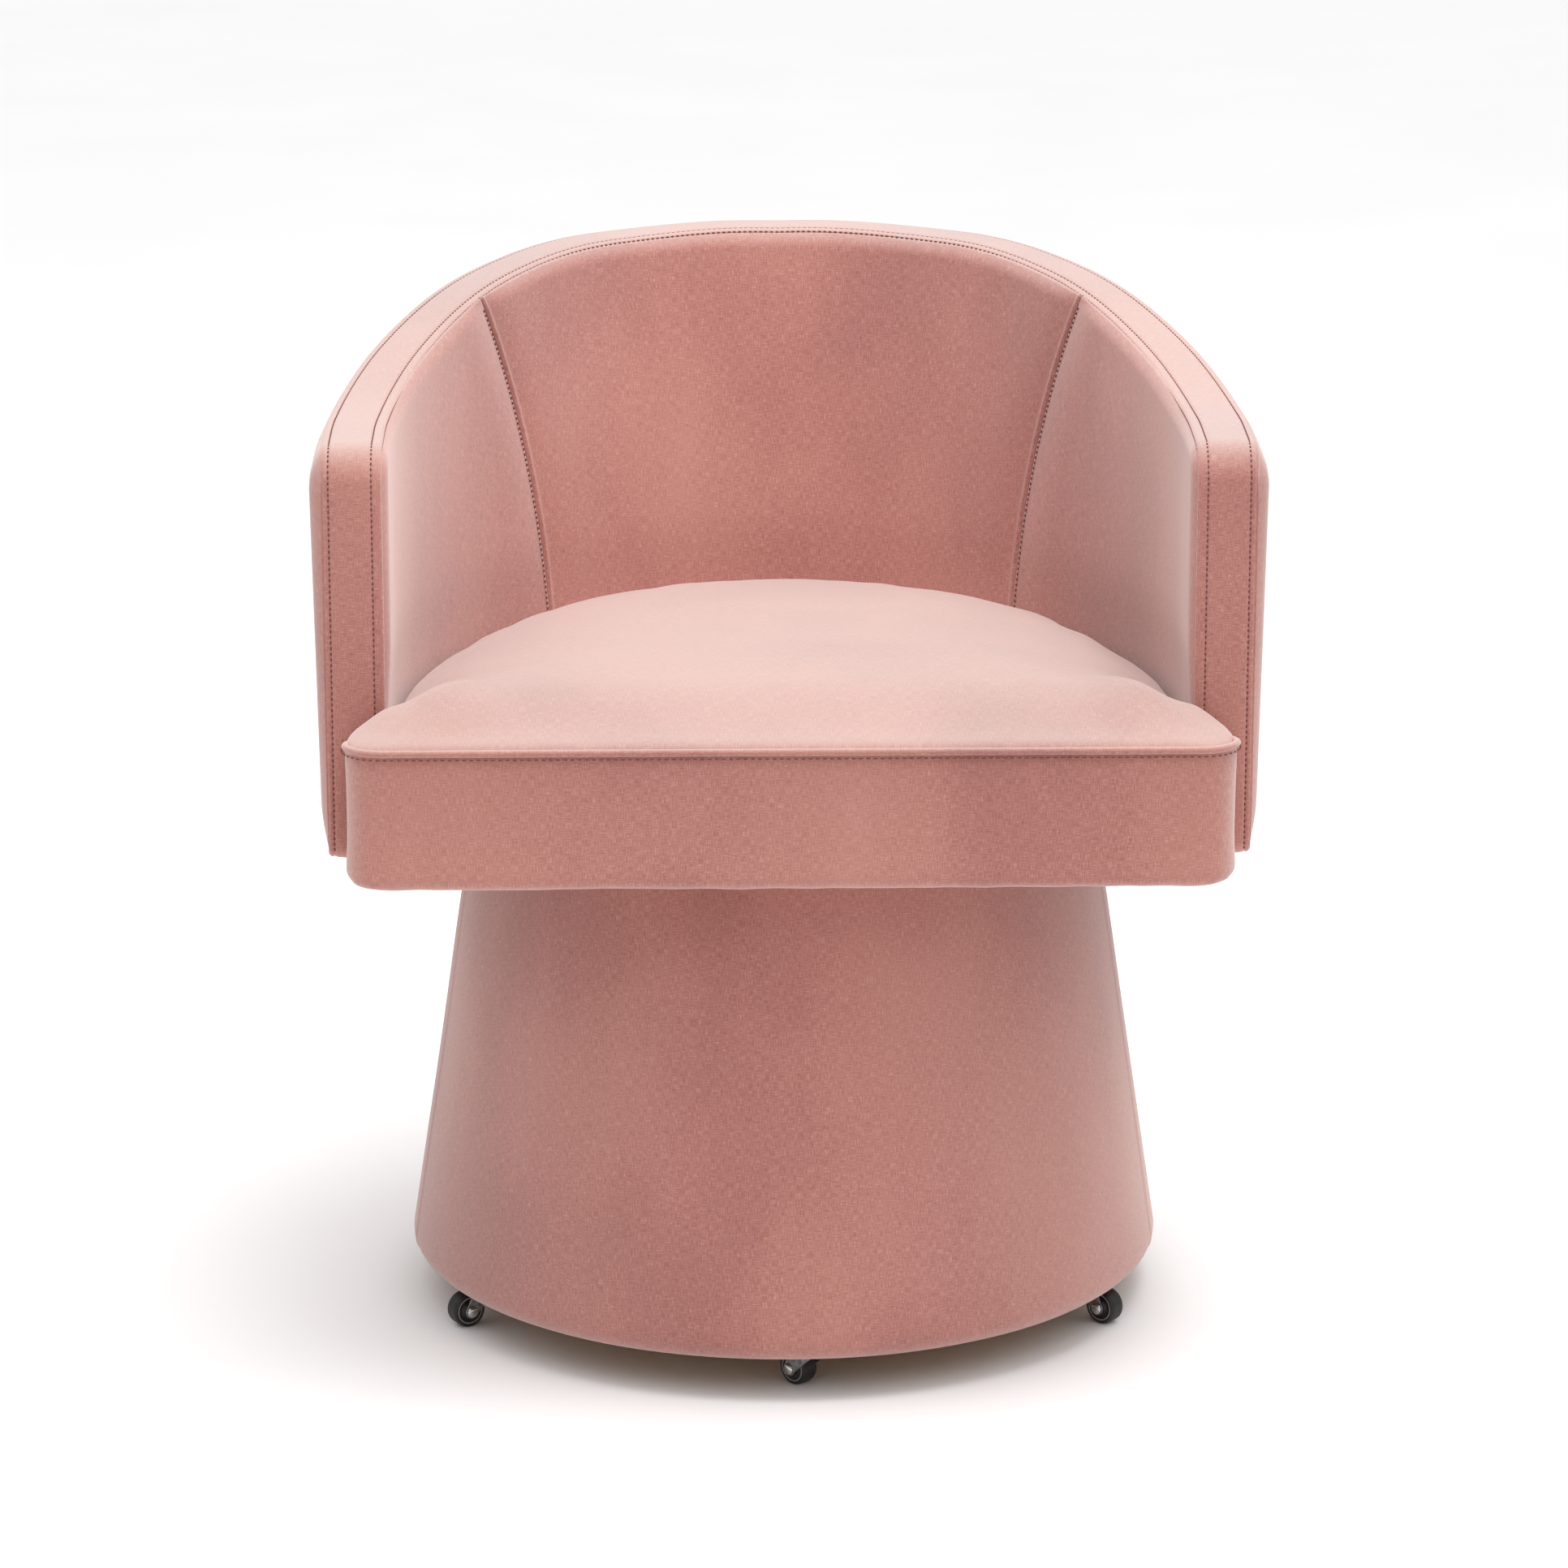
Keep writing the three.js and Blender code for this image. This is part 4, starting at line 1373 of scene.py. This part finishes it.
    def stuffed(self) -> bpy.types.Mesh:
        """Remeshes the blank evenly, inflates it as cloth and smooths it lightly.

        Returns:
            The inflated mesh.
        """
        data = bpy.data.meshes.new("cushion_blank")
        solid = self.blank()
        solid.to_mesh(data)
        solid.free()
        helper = bpy.data.objects.new("cushion_blank", data)
        bpy.context.scene.collection.objects.link(helper)
        even = helper.modifiers.new("even", "REMESH")
        even.mode = "VOXEL"
        even.voxel_size = self.voxel
        helper.data = self.evaluated(helper)
        helper.modifiers.clear()
        start = [vert.co.copy() for vert in helper.data.vertices]
        cloth = helper.modifiers.new("stuffing", "CLOTH").settings
        cloth.quality = 4
        cloth.use_pressure = True
        cloth.uniform_pressure_force = self.pressure
        cloth.effector_weights.gravity = 0
        for number in range(1, self.frames + 1):
            bpy.context.scene.frame_set(number)
        helper.data = self.evaluated(helper)
        helper.modifiers.clear()
        bpy.context.scene.frame_set(1)
        for vert, origin in zip(helper.data.vertices, start):
            push = vert.co - origin
            limit = self.cap(origin)
            if push.length > limit:
                vert.co = origin + push * (limit / push.length)
        soft = bmesh.new()
        soft.from_mesh(helper.data)
        for _ in range(self.smoothings):
            bmesh.ops.smooth_vert(soft, verts=soft.verts, factor=0.5, use_axis_x=True,
                                  use_axis_y=True, use_axis_z=True)
        soft.to_mesh(helper.data)
        soft.free()
        finer = helper.modifiers.new("finer", "SUBSURF")
        finer.levels = finer.render_levels = 1
        made = self.evaluated(helper)
        bpy.data.objects.remove(helper)
        return made

    @staticmethod
    def evaluated(piece: bpy.types.Object) -> bpy.types.Mesh:
        """The piece's mesh with its modifiers applied."""
        graph = bpy.context.evaluated_depsgraph_get()
        return bpy.data.meshes.new_from_object(piece.evaluated_get(graph))

    def wrinkle(self, point: Vector) -> float:
        """Small pulls in the cloth near the seams and where it is stapled below.

        Args:
            point: a point of the cushion.

        Returns:
            The distance along its normal.
        """
        near_seam = ridge(point.z, self.seam, 40 * MM)
        near_foot = ridge(point.z, self.bottom, 44 * MM)
        pull = noise.noise(Vector((point.x * self.pulls_per_metre,
                                   point.y * self.pulls_per_metre, 3.1)))
        soft = noise.noise(point * self.lumps_per_metre)
        return (pull * (0.5 * near_seam + 0.9 * near_foot) + soft * 0.6) * MM

    def squeezed(self, point: Vector) -> float:
        """How much higher the top stands between the arm fronts, which squeeze it.

        Args:
            point: a point of the cushion.

        Returns:
            The extra height.
        """
        past_neck = abs(point.x) - self.neck
        beside = smooth((past_neck + self.squeeze_side) / (60 * MM))
        beside *= 1 - smooth(past_neck / (self.half - self.neck - 4 * MM))
        along = ridge(point.y, self.wing_rear + 8 * MM, self.squeeze_reach)
        on_top = smooth((point.z - self.seam + 20 * MM) / (20 * MM))
        return self.squeeze * beside * along * on_top

    def build(self, finishes: Finishes) -> None:
        """Makes the cushion, its welt and its stitches.

        Args:
            finishes: the chair's finishes.
        """
        mesh = bmesh.new()
        mesh.from_mesh(self.stuffed())
        mesh.normal_update()
        for vert in mesh.verts:
            vert.co += vert.normal * self.wrinkle(vert.co)
            vert.co.z += self.squeezed(vert.co)
        mesh.normal_update()
        cloth_map = mesh.loops.layers.uv.new("cloth")
        for face in mesh.faces:
            face.smooth = True
            steep = [abs(value) for value in face.normal]
            main = steep.index(max(steep))
            first, second = [(1, 2), (0, 2), (0, 1)][main]
            for loop in face.loops:
                loop[cloth_map].uv = (loop.vert.co[first], loop.vert.co[second])
        cushion = finished("seat_cushion_fabric", mesh, finishes.cloth, "seat",
                           Slot.UPHOLSTERY, ["seat_cushion"])
        self.build_welt(finishes)

    def build_welt(self, finishes: Finishes) -> None:
        """Makes the folded edge along the seam, and the stitches that hold it.

        Args:
            finishes: the chair's finishes.
        """
        loop = self.outline(count=700)
        count = len(loop)

        def outward(index: int) -> Vector:
            """The level direction out of the seam at a point of its loop."""
            along = loop[(index + 1) % count] - loop[(index - 1) % count]
            return Vector((along.y, -along.x, 0)).normalized()

        def surface(column: float, row: float) -> Vector:
            """A point of the welt, which shrinks into the cushion towards its ends.

            Args:
                column: place along the seam, 0 at the middle of the front.
                row: share of the way round the welt.

            Returns:
                The point.
            """
            index = round(column) % count
            out = outward(index)
            angle = row * math.tau
            fade = smooth((reach - abs(column)) / (reach * self.welt_fade))
            base = loop[index] - out * (self.welt * mix(2.6, 0.62, fade))
            base.z = self.seam + mix(-2.5, 0.6, fade) * MM
            round_it = out * math.cos(angle) + Vector((0, 0, 1.05 * math.sin(angle)))
            return base + round_it * (self.welt * mix(0.4, 1, fade))

        shown = [index for index in range(count) if loop[index].y < self.wing_rear - 12 * MM]
        reach = next(index for index in shown if index + 1 not in shown)
        mesh = laid_sheet([float(i) for i in range(-reach, reach + 1)], steps(14), surface)
        bmesh.ops.remove_doubles(mesh, verts=mesh.verts, dist=MERGE)
        finished("seat_welt", mesh, finishes.cloth, "seat", Slot.UPHOLSTERY)
        level = Vector((0, 0, self.seam - self.stitch_drop))
        sewn = [(loop[index] + outward(index) * 0.5 * MM + level, outward(index))
                for index in range(-reach, reach + 1)]
        finished("seat_seam_stitches", self.stitches.sew(sewn), finishes.thread, "seat",
                 Slot.UPHOLSTERY)


# ------------------------------------------------------------------ pedestal


@dataclass(frozen=True)
class PedestalCover:
    """The cloth sleeve over the conical pedestal, with two upright seams."""

    rim_radius: float = 273.5 * MM
    rim_height: float = 44 * MM
    rim_roll: float = 14 * MM
    lip_radius: float = 256.8 * MM
    top_radius: float = 223 * MM
    top: float = 378 * MM
    top_roll: float = 4 * MM
    wrap_radius: float = 197 * MM
    wrap_middle: float = 210 * MM
    seam_azimuths: tuple[float, float] = (80.0, -82.0)
    seam_depth: float = 1.3 * MM
    seam_width: float = 5 * MM
    fold_height: float = 0.6 * MM
    fold_offset: float = 3.2 * MM
    slack: float = 0.7 * MM
    slack_round: float = 3.1
    slack_up: float = 9.0
    taut_top: float = 50 * MM
    wall: float = 3.2 * MM

    def profile(self) -> list[tuple[float, float]]:
        """Radius and height from the top wrap, down the side, to the lower lip.

        Returns:
            The profile in order.
        """
        roll_top = self.top - self.top_roll
        lower = self.rim_height
        side = [(self.cone(height), height) for height in steps(46, roll_top, lower)]
        shoulder = [(self.cone(self.top) - self.top_roll * (1 - math.sin(angle)),
                     roll_top + self.top_roll * math.cos(angle))
                    for angle in steps(4, 0, math.pi / 2)[:-1]]
        rim = [(self.rim_radius - self.rim_roll * (1 - math.cos(angle)),
                lower - self.rim_roll * math.sin(angle))
               for angle in steps(9, 0, math.pi / 2)[1:]]
        return [(self.wrap_radius, self.top), (self.wrap_middle, self.top), *shoulder, *side, *rim,
                (self.lip_radius, lower - self.rim_roll)]

    def cone(self, height: float) -> float:
        """Radius of the cone at a height."""
        return mix(self.rim_radius, self.top_radius,
                   (height - self.rim_height) / (self.top - self.rim_height))

    def build(self, finishes: Finishes) -> None:
        """Makes the sleeve and its seams.

        Args:
            finishes: the chair's finishes.
        """
        profile = self.profile()
        fine = [0.0, 0.15, 0.3, 0.5, 0.75, 1.1, 1.6, 2.3]
        near = [seam + side * step for seam in self.seam_azimuths for side in (-1, 1)
                for step in fine]
        columns = sorted({round(value, 4) for value in [*steps(144, -180, 180), *near]})

        def surface(azimuth: float, row: float) -> Vector:
            """A point of the sleeve.

            Args:
                azimuth: degrees from the front.
                row: number of the profile's point.

            Returns:
                The point.
            """
            radius, height = profile[round(row)]
            angle = math.radians(azimuth)
            pull = 0.0
            for seam in self.seam_azimuths:
                off = math.radians(azimuth - seam) * radius
                fold = math.copysign(self.fold_offset, -seam)
                pull -= self.seam_depth * ridge(off, 0, self.seam_width)
                pull += self.fold_height * ridge(off, fold, self.seam_width)
            soft = noise.noise(Vector((math.sin(angle) * self.slack_round,
                                       math.cos(angle) * self.slack_round,
                                       height * self.slack_up)))
            low = smooth((self.top - height) / self.taut_top)
            radius += (pull + soft * self.slack) * low
            return Vector((radius * math.sin(angle), -radius * math.cos(angle), height))

        mesh = laid_sheet(columns, [float(i) for i in range(len(profile))], surface, flip=True)
        bmesh.ops.remove_doubles(mesh, verts=mesh.verts, dist=MERGE)
        thicken(finished("pedestal_sleeve", mesh, finishes.cloth, "base",
                         Slot.UPHOLSTERY, ["pedestal_cover"]), self.wall)


# ------------------------------------------------------------------ casters


@dataclass(frozen=True)
class Caster:
    """One plate caster: a bent fork, a domed axle and a wheel of three parts."""

    number: int
    wheel_radius: float = 12.5 * MM
    half_width: float = 7 * MM
    hub_radius: float = 9.2 * MM
    fork_half: float = 9.6 * MM
    fork_top: float = 31 * MM
    sheet: float = 1.6 * MM
    boss_radius: float = 5.2 * MM
    axle_radius: float = 1.5 * MM
    head_radius: float = 4.2 * MM
    sides: int = 56

    def place(self) -> Matrix:
        """Moves a shape from around the wheel's centre, trailing along +X, to its place.

        Returns:
            The transform.
        """
        joint = next(joint for joint in frame["joints"]
                     if joint["name"] == f"caster_{self.number}_roll")
        x, y, z = joint["axis"]
        heading = math.atan2(-x, y)
        return Matrix.Translation(joint["pos_m"]) @ Matrix.Rotation(heading, 4, "Z")

    def piece(self, word: str, mesh: bmesh.types.BMesh, material: bpy.types.Material,
              part: str, slot: Slot, node: str | None = None) -> None:
        """Places a mesh and makes it a piece on the swivel or the wheel.

        Args:
            word: the piece's name on the caster.
            mesh: its mesh, around the wheel's centre.
            material: its finish.
            part: swivel or wheel.
            slot: the record's slot.
            node: the CAD node that it replaces, if any.
        """
        mesh.transform(self.place())
        stands_for = [f"caster_{self.number}_{node}"] if node else []
        finished(f"caster_{self.number}_{word}", mesh, material,
                 f"caster_{self.number}_{part}", slot, stands_for)

    def tyre(self) -> bmesh.types.BMesh:
        """The rounded tread with a raised shoulder.

        Returns:
            The tread's mesh.
        """
        r, w, seat = self.wheel_radius, self.half_width, self.hub_radius + 1.0 * MM
        half = [(seat, w - 0.5 * MM), (seat + 0.5 * MM, w), (r - 1.6 * MM, w - 0.1 * MM),
                (r - 0.8 * MM, w - 0.6 * MM), (r - 0.25 * MM, w - 1.5 * MM),
                (r, w - 3.0 * MM), (r, w - 5.0 * MM)]
        return turned_evenly(half, self.sides)

    def liner(self) -> bmesh.types.BMesh:
        """The pale ring between the tyre and the wheel's centre.

        Returns:
            The ring's mesh.
        """
        low, high, w = self.hub_radius - 0.1 * MM, self.hub_radius + 0.9 * MM, self.half_width
        half = [(low, w - 0.7 * MM), (low + 0.3 * MM, w - 0.25 * MM),
                (high - 0.3 * MM, w - 0.25 * MM), (high, w - 0.7 * MM)]
        return turned_evenly(half, self.sides)

    def hub(self) -> bmesh.types.BMesh:
        """The wheel's dished centre with a raised boss.

        Returns:
            The centre's mesh.
        """
        r, w = self.hub_radius - 0.2 * MM, self.half_width
        half = [(1.8 * MM, w), (4.0 * MM, w), (4.5 * MM, w - 0.4 * MM), (4.9 * MM, w - 1.7 * MM),
                (7.0 * MM, w - 2.0 * MM), (r - 0.9 * MM, w - 1.5 * MM), (r, w - 0.6 * MM)]
        return turned_evenly(half, self.sides)

    def axle(self) -> bmesh.types.BMesh:
        """The axle with a domed head at each end.

        Returns:
            The axle's mesh.
        """
        seat = self.fork_half + 0.15 * MM
        dome = [(self.head_radius * math.cos(angle), seat + 0.5 * MM + 1.5 * MM * math.sin(angle))
                for angle in steps(6, 0, math.pi / 2)]
        half = [(self.axle_radius, 0), (self.axle_radius, seat), (self.head_radius, seat),
                *dome[:-1], (0.0, dome[-1][1])]
        return turned([*[(a, -b) for a, b in reversed(half)], *half[1:]], 32)

    def fork(self) -> bmesh.types.BMesh:
        """The bent sheet: a bridge over the wheel and two legs that narrow to the axle.

        Returns:
            The fork's mesh.
        """
        made = bmesh.new()
        top = self.fork_top - self.wheel_radius
        boss = [(self.boss_radius * math.cos(angle), self.boss_radius * math.sin(angle))
                for angle in steps(10, math.radians(200), math.radians(380))]
        leg = [(-22 * MM, top), (-22 * MM, top - 5 * MM), *boss, (-4 * MM, top)]
        for side in (-1, 1):
            y = side * self.fork_half - (self.sheet if side > 0 else 0)
            self._plate(made, [Vector((x, y, z)) for x, z in leg], Vector((0, self.sheet, 0)))
        half = self.fork_half
        deck = [(-26, -5), (-22, -half / MM), (-6, -half / MM), (-6, half / MM),
                (-22, half / MM), (-26, 5)]
        self._plate(made, [Vector((x * MM, y * MM, top - self.sheet)) for x, y in deck],
                    Vector((0, 0, self.sheet)))
        edges = [edge for edge in made.edges if edge.calc_face_angle(0) > 0.6]
        bmesh.ops.bevel(made, geom=edges, offset=0.35 * MM, segments=2, profile=0.5,
                        affect="EDGES", material=-1)
        bmesh.ops.recalc_face_normals(made, faces=made.faces)
        return made

    @staticmethod
    def _plate(made: bmesh.types.BMesh, outline: Sequence[Vector], depth: Vector) -> None:
        """Adds a flat plate of some depth to a mesh.

        Args:
            made: the mesh to add to.
            outline: the plate's corners.
            depth: direction and thickness.
        """
        face = made.faces.new([made.verts.new(point) for point in outline])
        grown = bmesh.ops.extrude_face_region(made, geom=[face])["geom"]
        verts = [item for item in grown if isinstance(item, bmesh.types.BMVert)]
        bmesh.ops.translate(made, verts=verts, vec=depth)

    def build(self, finishes: Finishes) -> None:
        """Makes the caster's five pieces.

        Args:
            finishes: the chair's finishes.
        """
        self.piece("fork_pressing", self.fork(), finishes.steel, "swivel", Slot.STEEL, "fork")
        self.piece("axle_rivet", self.axle(), finishes.bright, "swivel", Slot.BRIGHT, "axle")
        self.piece("wheel_centre", self.hub(), finishes.hub, "wheel", Slot.PLASTIC, "hub")
        self.piece("wheel_liner", self.liner(), finishes.liner, "wheel", Slot.PLASTIC)
        self.piece("tread", self.tyre(), finishes.tyre, "wheel", Slot.RUBBER, "tyre")


# ------------------------------------------------------------------ studio


@dataclass(frozen=True)
class Softbox:
    """A large soft area light."""

    name: str
    place: tuple[float, float, float]
    aim: tuple[float, float, float]
    size: tuple[float, float]
    power: float
    tint: tuple[float, float, float] = (1.0, 1.0, 1.0)

    def light(self) -> None:
        """Puts the light in the scene."""
        data = bpy.data.lights.new(self.name, "AREA")
        data.shape = "RECTANGLE"
        data.size, data.size_y = self.size
        data.energy = self.power
        data.color = self.tint
        lamp = bpy.data.objects.new(self.name, data)
        lamp.location = self.place
        toward = Vector(self.aim) - Vector(self.place)
        lamp.rotation_euler = toward.to_track_quat("-Z", "Y").to_euler()
        bpy.context.scene.collection.objects.link(lamp)


@dataclass(frozen=True)
class Studio:
    """The pale floor, the soft light and the camera."""

    distance: float = 4.5
    elevation: float = 19.92
    azimuth: float = -1.1
    tilt: float = 74.43
    lens: float = 147.4
    sensor: float = 36.0
    floor_half: float = 30.0
    horizon: float = 0.08
    zenith: float = 1.5
    backdrop: float = 1.0
    lights: tuple[Softbox, ...] = (
        Softbox("overhead", (0.35, -0.35, 2.7), (0, 0, 0.5), (2.0, 1.3), 47),
        Softbox("front_fill", (1.2, -2.9, 2.8), (0, 0, 0.4), (2.2, 1.8), 12.5),
    )

    def build(self) -> None:
        """Makes the floor, lights and camera."""
        sheet = bmesh.new()
        bmesh.ops.create_grid(sheet, x_segments=1, y_segments=1, size=self.floor_half)
        data = bpy.data.meshes.new("studio_floor")
        sheet.to_mesh(data)
        sheet.free()
        finish = Finish("studio_paper")
        fleck = finish.noise(finish.place(), 3.0, 2.0)
        tone = finish.ramp(fleck, [(0.3, (0.91, 0.91, 0.91, 1)), (0.7, (0.93, 0.93, 0.93, 1))])
        data.materials.append(finish.shade(Base_Color=tone, Roughness=0.9))
        floor = bpy.data.objects.new("studio_floor", data)
        bpy.context.scene.collection.objects.link(floor)
        self.hang_sky()
        for light in self.lights:
            light.light()
        self.aim_camera()

    def hang_sky(self) -> None:
        """Makes a plain white backdrop, and sky light that is brighter overhead."""
        world = bpy.data.worlds.new("studio")
        world.use_nodes = True
        tree = world.node_tree
        place = tree.nodes.new("ShaderNodeTexCoord")
        split = tree.nodes.new("ShaderNodeSeparateXYZ")
        climb = tree.nodes.new("ShaderNodeMapRange")
        climb.inputs["To Min"].default_value = self.horizon
        climb.inputs["To Max"].default_value = self.zenith
        sky = tree.nodes["Background"]
        sky.inputs["Color"].default_value = (1, 1, 1, 1)
        tree.links.new(place.outputs["Generated"], split.inputs[0])
        tree.links.new(split.outputs["Z"], climb.inputs["Value"])
        seen = tree.nodes.new("ShaderNodeMix")
        seen.inputs["B"].default_value = self.backdrop
        path = tree.nodes.new("ShaderNodeLightPath")
        tree.links.new(path.outputs["Is Camera Ray"], seen.inputs["Factor"])
        tree.links.new(climb.outputs["Result"], seen.inputs["A"])
        tree.links.new(seen.outputs["Result"], sky.inputs["Strength"])
        bpy.context.scene.world = world

    def aim_camera(self) -> None:
        """Places the camera in front of the chair, a little above it."""
        data = bpy.data.cameras.new("camera")
        data.sensor_width = self.sensor
        data.lens = self.lens
        camera = bpy.data.objects.new("camera", data)
        turn = math.radians(self.azimuth)
        camera.location = (self.distance * math.sin(turn), -self.distance * math.cos(turn),
                           self.distance * math.tan(math.radians(self.elevation)))
        camera.rotation_euler = (math.radians(self.tilt), 0, turn)
        bpy.context.scene.collection.objects.link(camera)
        bpy.context.scene.camera = camera
        bpy.context.scene.view_settings.view_transform = "Standard"


def note_sizes() -> None:
    """Updates the view layer."""
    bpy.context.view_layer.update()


def main() -> None:
    """Builds the chair around the frame."""
    logging.basicConfig(level=logging.INFO, format="%(name)s %(message)s")
    finishes = Finishes()
    finishes.dress_frame()
    plan = BackPlan()
    Studio().build()
    for part in (PedestalCover(), OuterCover(plan), InnerPanels(plan), EdgeBand(plan),
                 SeatCushion(plan)):
        part.build(finishes)
    for number in range(1, 6):
        Caster(number).build(finishes)
    note_sizes()


if __name__ == "__main__":
    main()
